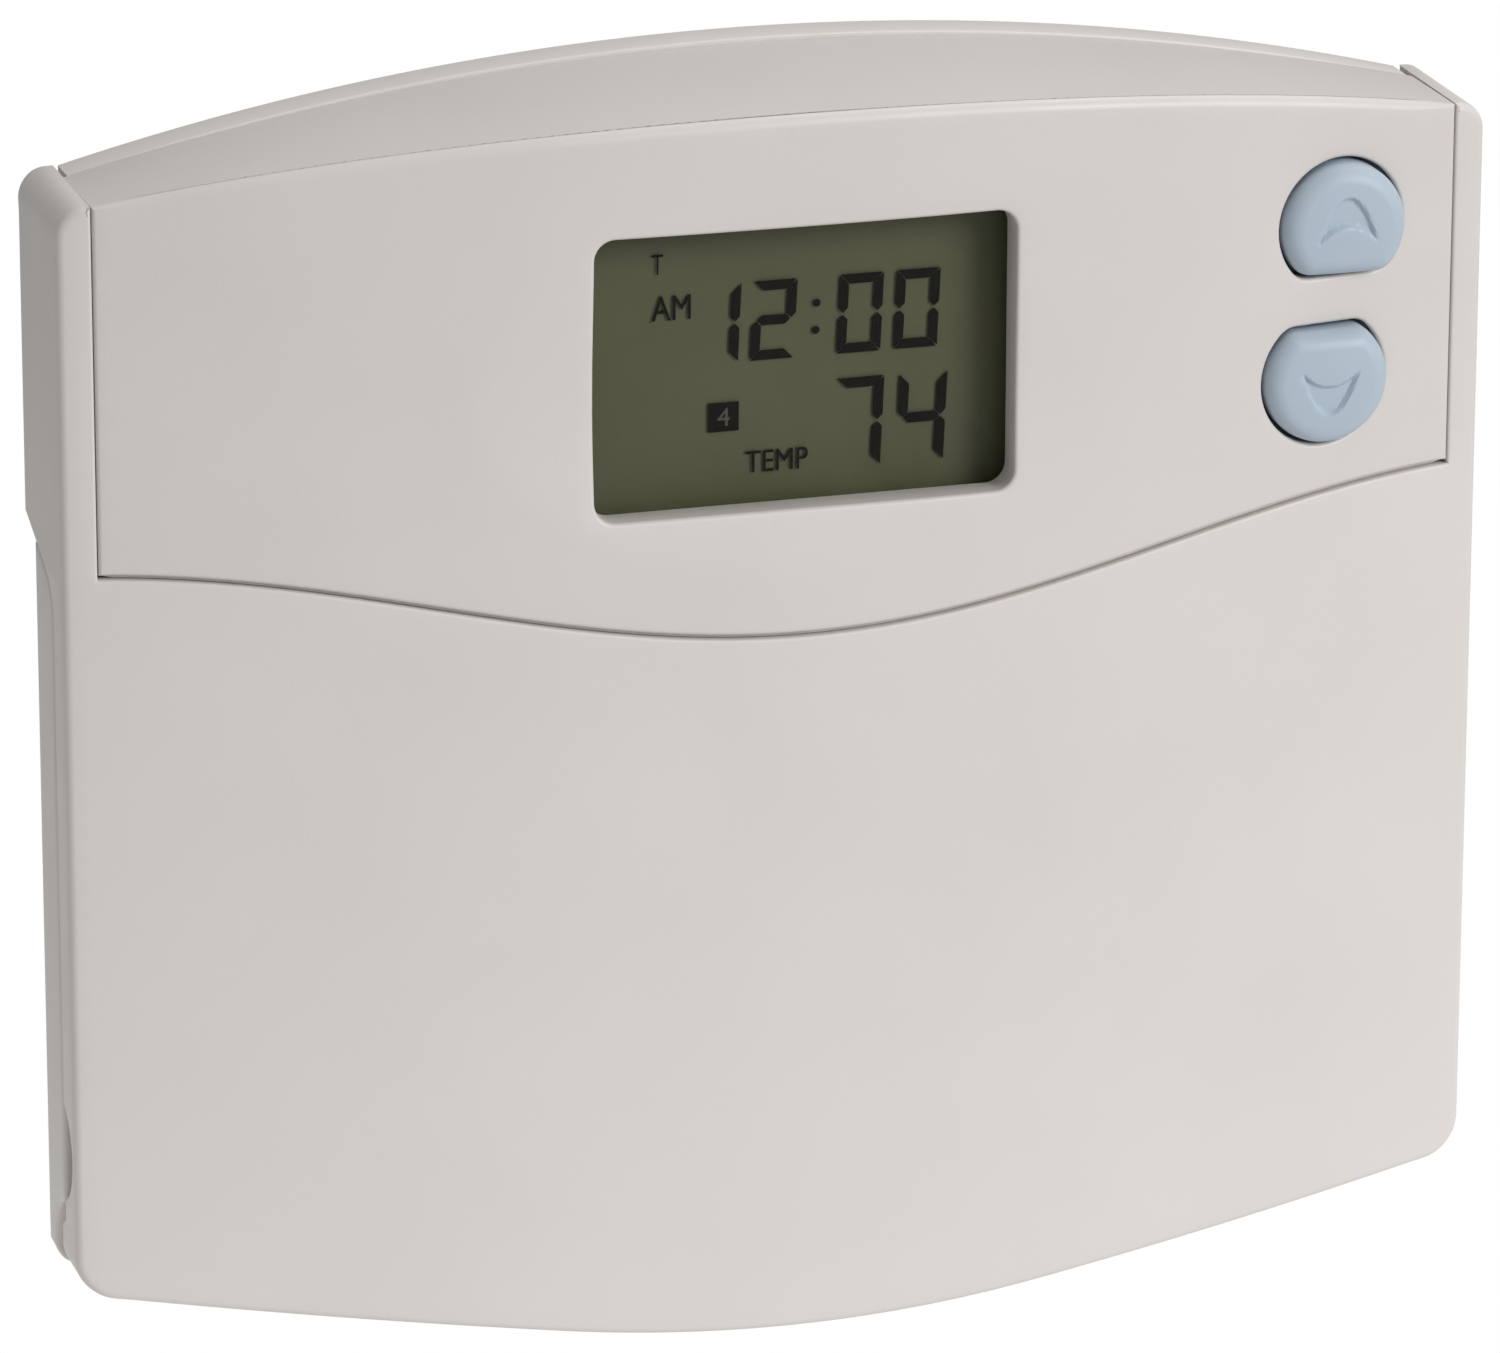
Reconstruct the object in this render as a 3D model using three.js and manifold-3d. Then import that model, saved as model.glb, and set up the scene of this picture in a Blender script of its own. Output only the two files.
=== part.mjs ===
// Wall thermostat with a flip-down door, a liquid-crystal display, two large buttons and, behind
// the door, a control panel with keys, two slide switches and two AA cells.
//
// Frame, in millimetres: X to the right and +Z up, seen from the room. The wall is the plane Y = 0
// and the room is on the -Y side. X = 0 is the middle of the thermostat.
import * as THREE from "three";
import { mergeVertices } from "three/addons/utils/BufferGeometryUtils.js";
import Module from "manifold-3d";

const wasm = await Module();
wasm.setup();

// ---------------------------------------------------------------- driving dimensions

const GAP = 0.3; // left between pieces that touch on the real thing
const HALF_WIDTH = 70; // outside of the door's arms
const SIDE_DEPTH = 20; // wall to the front face, at its two side edges
const FRONT_BULGE = 8; // how far the middle of the front stands proud of its side edges
const WALL = 2; // case wall
const ARC_STEPS = 24; // facets across the curved front

const TOP_Z = 61.8; // top of the case at its back edge, at X = 0
const TOP_BACK_RADIUS = 260;
const TOP_FRONT_Z = 58.9; // the same at the front face: the top slopes down towards the room
const TOP_FRONT_RADIUS = 400;
const BOTTOM_Z = -61.7; // lowest point of the door
const BOTTOM_RADIUS = 178;
const BOTTOM_ARC_X = 24; // the bottom edge is an arc to here and straight after it
const SEAM_HIGH_Z = 17.9; // wave-shaped edge between the display panel and the door
const SEAM_WAVE = 9.25;
const SEAM_HALF_WAVE = 68;

const WALL_PLATE_FRONT = -4;
const REAR_CASE_BACK = -4.3;
const REAR_CASE_FRONT = -8.7;
const CASE_BACK = -9;
const PANEL_Y = -18; // front of the control panel behind the door
const BOARD_FRONT = -12.6;
const BOARD_BACK = -11;

const FACE_HALF_WIDTH = 66.4; // display panel, between the door's arms
const BODY_HALF_WIDTH = 67.5; // case behind the arms
const BODY_SHOULDER_Z = 51; // the case is this low where the tops of the arms cross it
const CASE_INSET = 1; // case bottom above the door's bottom edge
const FLANK_X = 69.8; // lower sides of the case, behind the door's side walls

const DOOR_WALL = 1.8;
const ARM_INNER_X = 66.75;
const ARM_TOP_Z = 53.3;
const ARM_BACK_Y = -4.4;
const ARM_BACK_RADIUS = 4.5; // rounding of the arms' upper back corners
const CORNER_RADIUS = 3;
const DOOR_LOW_CORNER = 4.2;
const SIDE_SHALLOW_Y = -15.6; // back edge of the door's side walls, below the arms
const SIDE_BEND = { lowZ: 12, bendZ: 15.6, highY: -12, highZ: 17 }; // where that edge turns back
const ARM_LOW_Z = 20;
const SEAM_GAP = 0.45;
const HINGE_Y = -16;
const HINGE_Z = -50.6;
const HINGE_STUD_RADIUS = 1.2;
const HINGE_HOLE_RADIUS = 1.45;
const FOOT_ROOM_RADIUS = 4; // room round the hinge for the door's lower corner as it swings

const WINDOW = { halfWidth: 20.6, low: 20.7, high: 48.2, corner: 2 };
const WINDOW_Z = (WINDOW.low + WINDOW.high) / 2;
const DISH = { z: 33.2, halfWidth: 32.4, halfHeight: 18.9, depth: 0.5 };
const PAD_BACK = -24; // flat seat behind the window

const BUTTON = { radius: 6.2, corner: 2, proud: 2.3, clearance: 0.4 };
const BUTTONS = {
  up: { x: 54.4, z: 43, flat: 4.6, pointsUp: true },
  down: { x: 52.8, z: 28, flat: 5, pointsUp: false },
};

const KEY = { width: 9, height: 5.6, corner: 2.2, proud: 1.6, clearance: 0.4 };
const KEY_COLUMNS = [-48, -33, -18];
const KEY_ROWS = [0, -12];
const KEY_NAMES = [
  ["day_key", "time_key", "program_key"],
  ["hold_key", "return_key", "filter_key"],
];

const SLIDER = { width: 4.4, height: 3, proud: 2.2, plateThickness: 0.9 };
const SLIDERS = {
  system: { x: 22, z: -5, travel: 3, restX: 22 }, // middle of three positions
  fan: { x: 46, z: -5, travel: 2, restX: 44 }, // left one of two positions
};

const CELL = { radius: 7.25, length: 50.5, y: -15.6, upperZ: -32.2, lowerZ: -47.4 };
const BAY = {
  halfWidth: 28.4,
  low: -55.3,
  high: -24.3,
  wall: 2,
  floorFront: -8,
  floorBack: -6.5,
  rimY: -21,
  rimLow: -50,
};

const BOARD = { halfWidth: 62.5, low: -21, high: 50 };
const BOARD_SCREWS = [
  [-36, 46],
  [36, 46],
  [-58, -17],
  [58, -17],
];
const BOSS_RADIUS = 3;

const RELAY = { low: 21, high: 36, halfWidth: 5, height: 6, rim: 1 };
const RELAYS = { heat: -50, cool: -35, fan: 36 };
const THERMISTOR = { x: -58, z: -8, radius: 1.2, lift: 1.5 };
const CAPACITOR = { x: -50, z: 44, radius: 3, height: 5.5 };
const CRYSTAL = { x: -46, z: 12, width: 10, height: 4, lift: 2.7 };

const TERMINAL = { halfWidth: 22, low: 0, high: 13, front: -9.7 };
const TERMINAL_SCREWS = [-16, -8, 0, 8, 16];
const TERMINAL_SCREW_Z = 4;
const TERMINAL_PIN_Z = 10;
const WIRE_OPENING = { halfWidth: 20, low: -16, high: -4 };

// ---------------------------------------------------------------- curves of the outside

const frontY = (x) => -SIDE_DEPTH - FRONT_BULGE * (1 - (x / HALF_WIDTH) ** 2);
const sag = (x, radius) => radius - Math.sqrt(radius * radius - x * x);
const topBackZ = (x) => TOP_Z - sag(x, TOP_BACK_RADIUS);
const topFrontZ = (x) => TOP_FRONT_Z - sag(x, TOP_FRONT_RADIUS);
const seamZ = (x) =>
  SEAM_HIGH_Z - (SEAM_WAVE / 2) * (1 + Math.cos((Math.PI * x) / SEAM_HALF_WAVE));

function bottomZ(x) {
  const away = Math.abs(x);
  const slope = BOTTOM_ARC_X / Math.sqrt(BOTTOM_RADIUS ** 2 - BOTTOM_ARC_X ** 2);
  const onArc = Math.min(away, BOTTOM_ARC_X);
  return BOTTOM_Z + sag(onArc, BOTTOM_RADIUS) + slope * (away - onArc);
}

const caseBottomZ = (x) => bottomZ(x) + CASE_INSET;

// ---------------------------------------------------------------- solids

function solidOf(geometry) {
  const plain = geometry.clone();
  plain.deleteAttribute("normal");
  plain.deleteAttribute("uv");
  const merged = mergeVertices(plain, 1e-4);
  return new wasm.Manifold(
    new wasm.Mesh({
      numProp: 3,
      vertProperties: merged.attributes.position.array,
      triVerts: new Uint32Array(merged.index.array),
    }),
  );
}

function geometryOf(manifold) {
  const mesh = manifold.getMesh();
  const positions = new Float32Array(mesh.numVert * 3);
  for (let i = 0; i < mesh.numVert; i++) {
    positions.set(mesh.vertProperties.subarray(i * mesh.numProp, i * mesh.numProp + 3), i * 3);
  }
  const geometry = new THREE.BufferGeometry();
  geometry.setAttribute("position", new THREE.BufferAttribute(positions, 3));
  geometry.setIndex(new THREE.BufferAttribute(new Uint32Array(mesh.triVerts), 1));
  return geometry;
}

const join = (...solids) => solids.reduce((sum, next) => sum.add(next));
const cut = (from, ...tools) => tools.reduce((rest, tool) => rest.subtract(tool), from);

function box(x0, x1, y0, y1, z0, z1) {
  const geometry = new THREE.BoxGeometry(x1 - x0, y1 - y0, z1 - z0);
  return solidOf(geometry.translate((x0 + x1) / 2, (y0 + y1) / 2, (z0 + z1) / 2));
}

// A round bar along Y.
function barY(x, z, radius, y0, y1, sides = 16) {
  const geometry = new THREE.CylinderGeometry(radius, radius, y1 - y0, sides);
  return solidOf(geometry.translate(x, (y0 + y1) / 2, z));
}

// A round bar along X.
function barX(y, z, radius, x0, x1, sides = 16) {
  const geometry = new THREE.CylinderGeometry(radius, radius, x1 - x0, sides);
  return solidOf(geometry.rotateZ(Math.PI / 2).translate((x0 + x1) / 2, y, z));
}

// An outline in X and Z, given as points or as a THREE.Shape, extruded along Y.
function slabY(outline, y0, y1) {
  const shape = Array.isArray(outline) ? new THREE.Shape(outline) : outline;
  const geometry = new THREE.ExtrudeGeometry(shape, {
    depth: y1 - y0,
    bevelEnabled: false,
    curveSegments: 6,
  });
  return solidOf(geometry.rotateX(Math.PI / 2).translate(0, y1, 0));
}

// An outline in X and Y extruded along Z.
function slabZ(points, z0, z1) {
  const shape = new THREE.Shape(points);
  const geometry = new THREE.ExtrudeGeometry(shape, { depth: z1 - z0, bevelEnabled: false });
  return solidOf(geometry.translate(0, 0, z0));
}

// An outline in Y and Z extruded along X.
function slabX(outline, x0, x1) {
  const geometry = new THREE.ExtrudeGeometry(outline, {
    depth: x1 - x0,
    bevelEnabled: false,
    curveSegments: 8,
  });
  const turn = new THREE.Matrix4().makeBasis(
    new THREE.Vector3(0, 1, 0),
    new THREE.Vector3(0, 0, 1),
    new THREE.Vector3(1, 0, 0),
  );
  return solidOf(geometry.applyMatrix4(turn).translate(x0, 0, 0));
}

// A closed skin over rings that all have the same number of points, with a fan over each end.
function skinOver(rings) {
  const size = rings[0].length;
  const points = rings.flat();
  const faces = [];
  for (let ring = 0; ring + 1 < rings.length; ring++) {
    for (let i = 0; i < size; i++) {
      const a = ring * size + i;
      const b = ring * size + ((i + 1) % size);
      faces.push(a, b, b + size, a, b + size, a + size);
    }
  }
  for (const [ring, flip] of [
    [0, true],
    [rings.length - 1, false],
  ]) {
    const middle = new THREE.Vector3();
    rings[ring].forEach((point) => middle.addScaledVector(point, 1 / size));
    const hub = points.push(middle) - 1;
    for (let i = 0; i < size; i++) {
      const a = ring * size + i;
      const b = ring * size + ((i + 1) % size);
      faces.push(hub, flip ? b : a, flip ? a : b);
    }
  }
  const build = (order) => {
    const geometry = new THREE.BufferGeometry().setFromPoints(points);
    geometry.setIndex(order);
    return solidOf(geometry);
  };
  const made = build(faces);
  return made.volume() > 0 ? made : build(faces.slice().reverse());
}

const across = (from, to, steps) =>
  Array.from({ length: steps + 1 }, (_, i) => from + ((to - from) * i) / steps);

// ---------------------------------------------------------------- outlines

// Corner arc points in X and Z round a centre, from one angle to another, in degrees.
function cornerArc(x, z, radius, from, to, steps = 4) {
  return across(from, to, steps).map((angle) => {
    const turn = THREE.MathUtils.degToRad(angle);
    return new THREE.Vector2(x + radius * Math.cos(turn), z + radius * Math.sin(turn));
  });
}

function roundedRectangle(x, z, width, height, radius) {
  const dx = width / 2 - radius;
  const dz = height / 2 - radius;
  return [
    ...cornerArc(x + dx, z + dz, radius, 0, 90, 3),
    ...cornerArc(x - dx, z + dz, radius, 90, 180, 3),
    ...cornerArc(x - dx, z - dz, radius, 180, 270, 3),
    ...cornerArc(x + dx, z - dz, radius, 270, 360, 3),
  ];
}

// Plan view of a piece whose front follows the curved face, set back by an offset.
function planOutline(halfWidth, offset, backY) {
  const front = across(-halfWidth, halfWidth, ARC_STEPS).map(
    (x) => new THREE.Vector2(x, frontY(x) + offset),
  );
  return [...front, new THREE.Vector2(halfWidth, backY), new THREE.Vector2(-halfWidth, backY)];
}

// Front view of the case and the pieces behind it: arched top, straight sides, curved bottom.
function bodyOutline(halfWidth, shoulderZ, topZ, raise) {
  const low = (x) => caseBottomZ(x) + raise;
  const innerX = halfWidth - CORNER_RADIUS;
  const shoulderX = Math.min(halfWidth, FACE_HALF_WIDTH - 0.2);
  const points = across(-innerX, innerX, ARC_STEPS).map((x) => new THREE.Vector2(x, low(x)));
  points.push(...cornerArc(innerX, low(innerX) + CORNER_RADIUS, CORNER_RADIUS, -75, 0));
  const shoulderOf = (side) => {
    const outer = new THREE.Vector2(side * halfWidth, shoulderZ);
    const inner = new THREE.Vector2(side * shoulderX, shoulderZ);
    return shoulderX < halfWidth ? [outer, inner] : [outer];
  };
  points.push(...shoulderOf(1));
  points.push(...across(shoulderX, -shoulderX, ARC_STEPS).map((x) => new THREE.Vector2(x, topZ(x))));
  points.push(...shoulderOf(-1).reverse());
  points.push(...cornerArc(-innerX, low(innerX) + CORNER_RADIUS, CORNER_RADIUS, 180, 255));
  return points;
}

// Everything above the wave-shaped seam, or below it, out to a given half width.
function besideSeam(halfWidth, shift, farZ) {
  const seam = across(-halfWidth, halfWidth, ARC_STEPS).map(
    (x) => new THREE.Vector2(x, seamZ(x) + shift),
  );
  return [...seam, new THREE.Vector2(halfWidth, farZ), new THREE.Vector2(-halfWidth, farZ)];
}

// The space above the sloping, arched top of the case, lowered by a wall thickness.
function spaceAboveTop(lowered) {
  const frontAt = -30;
  const backAt = ARM_BACK_Y;
  const skyZ = 90;
  const rings = across(-72, 72, ARC_STEPS).map((x) => {
    const rise = (topBackZ(x) - topFrontZ(x)) / (backAt + SIDE_DEPTH + FRONT_BULGE);
    const zAt = (y) => topFrontZ(x) + rise * (y + SIDE_DEPTH + FRONT_BULGE) - lowered;
    return [
      new THREE.Vector3(x, frontAt, zAt(frontAt)),
      new THREE.Vector3(x, 2, zAt(2)),
      new THREE.Vector3(x, 2, skyZ),
      new THREE.Vector3(x, frontAt, skyZ),
    ];
  });
  return skinOver(rings);
}

// A round button's outline with one side cut flat and its two corners rounded, grown by a margin.
function buttonOutline({ x, z, flat, pointsUp }, margin = 0, scale = 1) {
  const radius = (BUTTON.radius + margin) * scale;
  const flatZ = (flat + margin) * scale;
  const corner = (BUTTON.corner + margin / 2) * scale;
  const cornerX = Math.sqrt((radius - corner) ** 2 - (flatZ - corner) ** 2);
  const dip = THREE.MathUtils.radToDeg(Math.atan2(flatZ - corner, cornerX));
  const points = [
    ...cornerArc(0, 0, radius, -dip, 180 + dip, 18),
    ...cornerArc(-cornerX, corner - flatZ, corner, 180 + dip, 270, 3).slice(1),
    ...cornerArc(cornerX, corner - flatZ, corner, 270, 360 - dip, 3).slice(0, -1),
  ];
  const way = pointsUp ? 1 : -1;
  return points.map((point) => new THREE.Vector2(x + way * point.x, z + way * point.y));
}

// ---------------------------------------------------------------- pieces

const group = new THREE.Group();

function add(name, manifold, colour, roughness = 0.55, metalness = 0) {
  const material = new THREE.MeshStandardMaterial({ color: colour, roughness, metalness });
  const mesh = new THREE.Mesh(geometryOf(manifold), material);
  mesh.name = name;
  group.add(mesh);
}

const COLOURS = {
  casing: 0xd6d1cd,
  button: 0xb4cbdd,
  key: 0xc9cdd0,
  slider: 0x8d9296,
  steel: 0xb9bcc0,
  spring: 0xcfd2d4,
  board: 0x2f6b3a,
  black: 0x1c1c1e,
  relay: 0x2a4f8c,
  terminal: 0x3b6e4d,
  rubber: 0x55585c,
  lcd: 0x5c6048,
  lens: 0xe8ecee,
  cell: 0x3a3f45,
};

// Wall plate: a shallow tray screwed to the wall, with the wires' opening in it.
function wallPlate() {
  const plateTop = (x) => topBackZ(x) - 2.6;
  const halfWidth = BODY_HALF_WIDTH - 0.1;
  const shoulderZ = BODY_SHOULDER_Z - 5;
  const outside = bodyOutline(halfWidth, shoulderZ, plateTop, 0.2);
  const inside = bodyOutline(halfWidth - WALL, shoulderZ, (x) => plateTop(x) - WALL, 0.2 + WALL);
  const screwSlot = (x) => slabY(roundedRectangle(x, -10, 4.6, 9, 2.3), -5, 1);
  const wires = box(
    -WIRE_OPENING.halfWidth,
    WIRE_OPENING.halfWidth,
    -5,
    1,
    WIRE_OPENING.low,
    WIRE_OPENING.high,
  );
  return cut(
    slabY(outside, WALL_PLATE_FRONT, 0),
    slabY(inside, WALL_PLATE_FRONT - 1, -WALL),
    wires,
    screwSlot(-41),
    screwSlot(41),
  );
}

// Terminal block on the wall plate: wells for its screws and sockets for the contact pins.
function terminalBlock() {
  const body = box(
    -TERMINAL.halfWidth,
    TERMINAL.halfWidth,
    TERMINAL.front,
    -WALL - GAP,
    TERMINAL.low,
    TERMINAL.high,
  );
  const wells = TERMINAL_SCREWS.map((x) => barY(x, TERMINAL_SCREW_Z, 2.8, -11, -4.5, 12));
  const sockets = TERMINAL_SCREWS.map((x) => barY(x, TERMINAL_PIN_Z, 0.9, -11, -6.5, 8));
  return cut(body, ...wells, ...sockets);
}

function terminalScrew(x) {
  const head = barY(x, TERMINAL_SCREW_Z, 2.3, -8.6, -7, 12);
  const shank = barY(x, TERMINAL_SCREW_Z, 1.4, -7.1, -4.8, 8);
  const slot = box(x - 2, x + 2, -9, -8, TERMINAL_SCREW_Z - 0.35, TERMINAL_SCREW_Z + 0.35);
  return cut(join(head, shank), slot);
}

// Rear case: the back of the thermostat's body. Its rim shows as a thin band along the top.
function rearCase() {
  const rearTop = (x) => topBackZ(x) - 0.05;
  const outside = bodyOutline(BODY_HALF_WIDTH - 0.1, BODY_SHOULDER_Z - 0.5, rearTop, 0.1);
  const inside = bodyOutline(BODY_HALF_WIDTH - 2.2, 48, (x) => rearTop(x) - WALL, 0.1 + WALL);
  const terminalHole = box(
    -TERMINAL.halfWidth - 1.5,
    TERMINAL.halfWidth + 1.5,
    REAR_CASE_FRONT - 1,
    REAR_CASE_BACK + 1,
    TERMINAL.low - 1.5,
    TERMINAL.high + 1.5,
  );
  const bayX = BAY.halfWidth + BAY.wall + GAP;
  const bayRoom = box(-bayX, bayX, CASE_BACK, BAY.floorBack + GAP, -70, BAY.high + BAY.wall + GAP);
  return cut(
    slabY(outside, REAR_CASE_FRONT, REAR_CASE_BACK),
    slabY(inside, REAR_CASE_FRONT - 1, REAR_CASE_BACK - 1.6),
    terminalHole,
    bayRoom,
  );
}

// Shallow dish with a soft edge, let into the curved front round the display window.
function dish() {
  const profile = [
    [1.06, -3],
    [1.0, -0.01],
    [0.93, 0.2 * DISH.depth],
    [0.84, 0.5 * DISH.depth],
    [0.72, DISH.depth],
  ];
  const rings = profile.map(([scale, depth]) =>
    across(0, 2 * Math.PI, 30)
      .slice(1)
      .map((turn) => {
        const x = DISH.halfWidth * scale * Math.cos(turn);
        const z = DISH.z + DISH.halfHeight * scale * Math.sin(turn);
        return new THREE.Vector3(x, frontY(x) + depth, z);
      }),
  );
  return skinOver(rings);
}

// Front case: display panel above, control panel with the cell bay below, open at the back.
function frontCase() {
  const farZ = 80;
  const behind = CASE_BACK + 1;
  const faceBlock = slabZ(planOutline(FACE_HALF_WIDTH, 0, CASE_BACK), 0, farZ);
  const face = faceBlock.intersect(slabY(besideSeam(FACE_HALF_WIDTH + 1, 0, farZ), -32, 0));
  const bodyFront = bodyOutline(BODY_HALF_WIDTH, BODY_SHOULDER_Z, () => farZ, 0);
  const body = slabY(bodyFront, PANEL_Y, CASE_BACK);

  const faceInside = slabZ(planOutline(FACE_HALF_WIDTH - WALL, WALL, behind), 0, farZ).intersect(
    slabY(besideSeam(FACE_HALF_WIDTH, WALL, farZ), -32, 0),
  );
  const bodyInside = slabY(
    bodyOutline(BODY_HALF_WIDTH - WALL, 48, () => 49, WALL),
    PANEL_Y + WALL,
    behind,
  );
  const hollow = cut(join(faceInside, bodyInside), spaceAboveTop(WALL));
  const shell = cut(join(face, body), spaceAboveTop(0), hollow);

  const pad = box(-28, 28, -25.4, PAD_BACK, 14, 54.5);
  const bayOuter = BAY.halfWidth + BAY.wall;
  const bayLow = BAY.low - BAY.wall;
  const bayBody = box(-bayOuter, bayOuter, PANEL_Y, BAY.floorBack, bayLow, BAY.high + BAY.wall);
  const bayInCase = bayBody.intersect(slabY(bodyFront, -30, 0));
  const rim = box(-bayOuter, bayOuter, BAY.rimY, PANEL_Y + 1, BAY.rimLow, BAY.high + BAY.wall);
  const bosses = BOARD_SCREWS.map(([x, z]) => {
    const root = z > 0 ? frontY(x) + WALL / 2 : PANEL_Y + WALL / 2;
    return barY(x, z, BOSS_RADIUS, root, BOARD_FRONT - GAP);
  });
  const full = join(shell, pad, bayInCase, rim, ...bosses, flank(-1), flank(1));

  const bayHollow = box(-BAY.halfWidth, BAY.halfWidth, -30, BAY.floorFront, BAY.low, BAY.high);
  const windowWidth = WINDOW.halfWidth * 2;
  const windowHeight = WINDOW.high - WINDOW.low;
  const windowHole = roundedRectangle(0, WINDOW_Z, windowWidth, windowHeight, WINDOW.corner);
  const buttonHoles = Object.values(BUTTONS).map((button) =>
    slabY(buttonOutline(button, BUTTON.clearance), -30, PANEL_Y),
  );
  const keyHoles = KEY_ROWS.flatMap((z) =>
    KEY_COLUMNS.map((x) => {
      const width = KEY.width + 2 * KEY.clearance;
      const height = KEY.height + 2 * KEY.clearance;
      return slabY(roundedRectangle(x, z, width, height, KEY.corner), PANEL_Y - 1, -15);
    }),
  );
  const sliderSlots = Object.values(SLIDERS).map(({ x, z, travel }) => {
    const width = SLIDER.width + 2 * travel + 0.8;
    const height = SLIDER.height + 0.8;
    return slabY(roundedRectangle(x, z, width, height, 0.6), PANEL_Y - 1, -15);
  });
  const screwHoles = BOARD_SCREWS.map(([x, z]) => barY(x, z, 1.5, -19.5, -12, 12));
  const hingeHoles = [-1, 1].map((side) =>
    barX(HINGE_Y, HINGE_Z, HINGE_HOLE_RADIUS, side * 67 - 2.5, side * 67 + 2.5),
  );
  return cut(
    full,
    dish(),
    bayHollow,
    slabY(windowHole, -30, PAD_BACK + 1),
    ...buttonHoles,
    ...keyHoles,
    ...sliderSlots,
    ...screwHoles,
    ...hingeHoles,
    lowerFrontChamfer(),
  );
}

// Lower side of the case, level with the outside of the door's side wall and just behind it.
function flank(side) {
  const frontEdgeY = SIDE_SHALLOW_Y + GAP;
  const bend = SIDE_BEND;
  const lowZ = -60;
  const rise = (ARM_LOW_Z - bend.highZ) / (ARM_BACK_Y - bend.highY);
  const topZ = bend.highZ - GAP + rise * (CASE_BACK - bend.highY);
  const shape = new THREE.Shape()
    .moveTo(frontEdgeY, lowZ)
    .lineTo(frontEdgeY, bend.lowZ - GAP)
    .quadraticCurveTo(frontEdgeY, bend.bendZ - GAP, bend.highY, bend.highZ - GAP)
    .lineTo(CASE_BACK, topZ)
    .lineTo(CASE_BACK, lowZ);
  const rootX = BODY_HALF_WIDTH - 0.5;
  const [x0, x1] = side < 0 ? [-FLANK_X, -rootX] : [rootX, FLANK_X];
  const outline = slabY(bodyOutline(FLANK_X, 30, () => 40, 0), SIDE_SHALLOW_Y, CASE_BACK);
  const [near, far] = side < 0 ? [-FLANK_X - 1, -BODY_HALF_WIDTH] : [BODY_HALF_WIDTH, FLANK_X + 1];
  const footRoom = barX(HINGE_Y, HINGE_Z, FOOT_ROOM_RADIUS, near, far, 28);
  return cut(slabX(shape, x0, x1).intersect(outline), footRoom);
}

// Wedge taken off the case's lower front edge, so that the door's foot clears it as it swings.
function lowerFrontChamfer() {
  const size = 1.4;
  const rings = across(-BODY_HALF_WIDTH - 1, BODY_HALF_WIDTH + 1, ARC_STEPS).map((x) => [
    new THREE.Vector3(x, PANEL_Y - 1, caseBottomZ(x) - 1),
    new THREE.Vector3(x, PANEL_Y + size + 1, caseBottomZ(x) - 1),
    new THREE.Vector3(x, PANEL_Y - 1, caseBottomZ(x) + size + 1),
  ]);
  return skinOver(rings);
}

// Side wall of the door in Y and Z: deep beside the display panel, shallow below it, with a
// crescent let into its back edge above the hinge and a foot round the hinge stud.
function doorSide() {
  const shallowY = SIDE_SHALLOW_Y;
  const bend = SIDE_BEND;
  const crescent = { z: -40.6, radius: 5.5, y: -13.3 };
  const reach = Math.sqrt(crescent.radius ** 2 - (shallowY - crescent.y) ** 2);
  const angle = Math.atan2(reach, shallowY - crescent.y);
  const frontEdge = -19;
  const lowZ = bottomZ(HALF_WIDTH - 0.9) + 1.2;
  const footY = -14.2;
  return new THREE.Shape()
    .moveTo(frontEdge, lowZ)
    .lineTo(footY - 1, lowZ)
    .quadraticCurveTo(footY, lowZ, footY, lowZ + 1.5)
    .lineTo(footY, HINGE_Z + 2.2)
    .lineTo(shallowY, HINGE_Z + 3)
    .lineTo(shallowY, crescent.z - reach)
    .absarc(crescent.y, crescent.z, crescent.radius, -angle, angle, true)
    .lineTo(shallowY, bend.lowZ)
    .quadraticCurveTo(shallowY, bend.bendZ, bend.highY, bend.highZ)
    .lineTo(ARM_BACK_Y, ARM_LOW_Z)
    .lineTo(ARM_BACK_Y, ARM_TOP_Z - ARM_BACK_RADIUS)
    .absarc(ARM_BACK_Y - ARM_BACK_RADIUS, ARM_TOP_Z - ARM_BACK_RADIUS, ARM_BACK_RADIUS, 0, Math.PI / 2)
    .lineTo(frontEdge, ARM_TOP_Z);
}

// Front view of the door: a U whose two arms reach to the top of the case.
function doorOutline() {
  const lowX = HALF_WIDTH - DOOR_LOW_CORNER;
  const lowZ = bottomZ(lowX) + DOOR_LOW_CORNER;
  const highX = HALF_WIDTH - CORNER_RADIUS;
  const highZ = ARM_TOP_Z - CORNER_RADIUS;
  const seam = across(ARM_INNER_X, -ARM_INNER_X, ARC_STEPS);
  return [
    ...across(-lowX, lowX, ARC_STEPS).map((x) => new THREE.Vector2(x, bottomZ(x))),
    ...cornerArc(lowX, lowZ, DOOR_LOW_CORNER, -75, 0),
    ...cornerArc(highX, highZ, CORNER_RADIUS, 0, 90),
    new THREE.Vector2(ARM_INNER_X, ARM_TOP_Z),
    ...seam.map((x) => new THREE.Vector2(x, seamZ(x) - SEAM_GAP)),
    new THREE.Vector2(-ARM_INNER_X, ARM_TOP_Z),
    ...cornerArc(-highX, highZ, CORNER_RADIUS, 90, 180),
    ...cornerArc(-lowX, lowZ, DOOR_LOW_CORNER, 180, 255),
  ];
}

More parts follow.
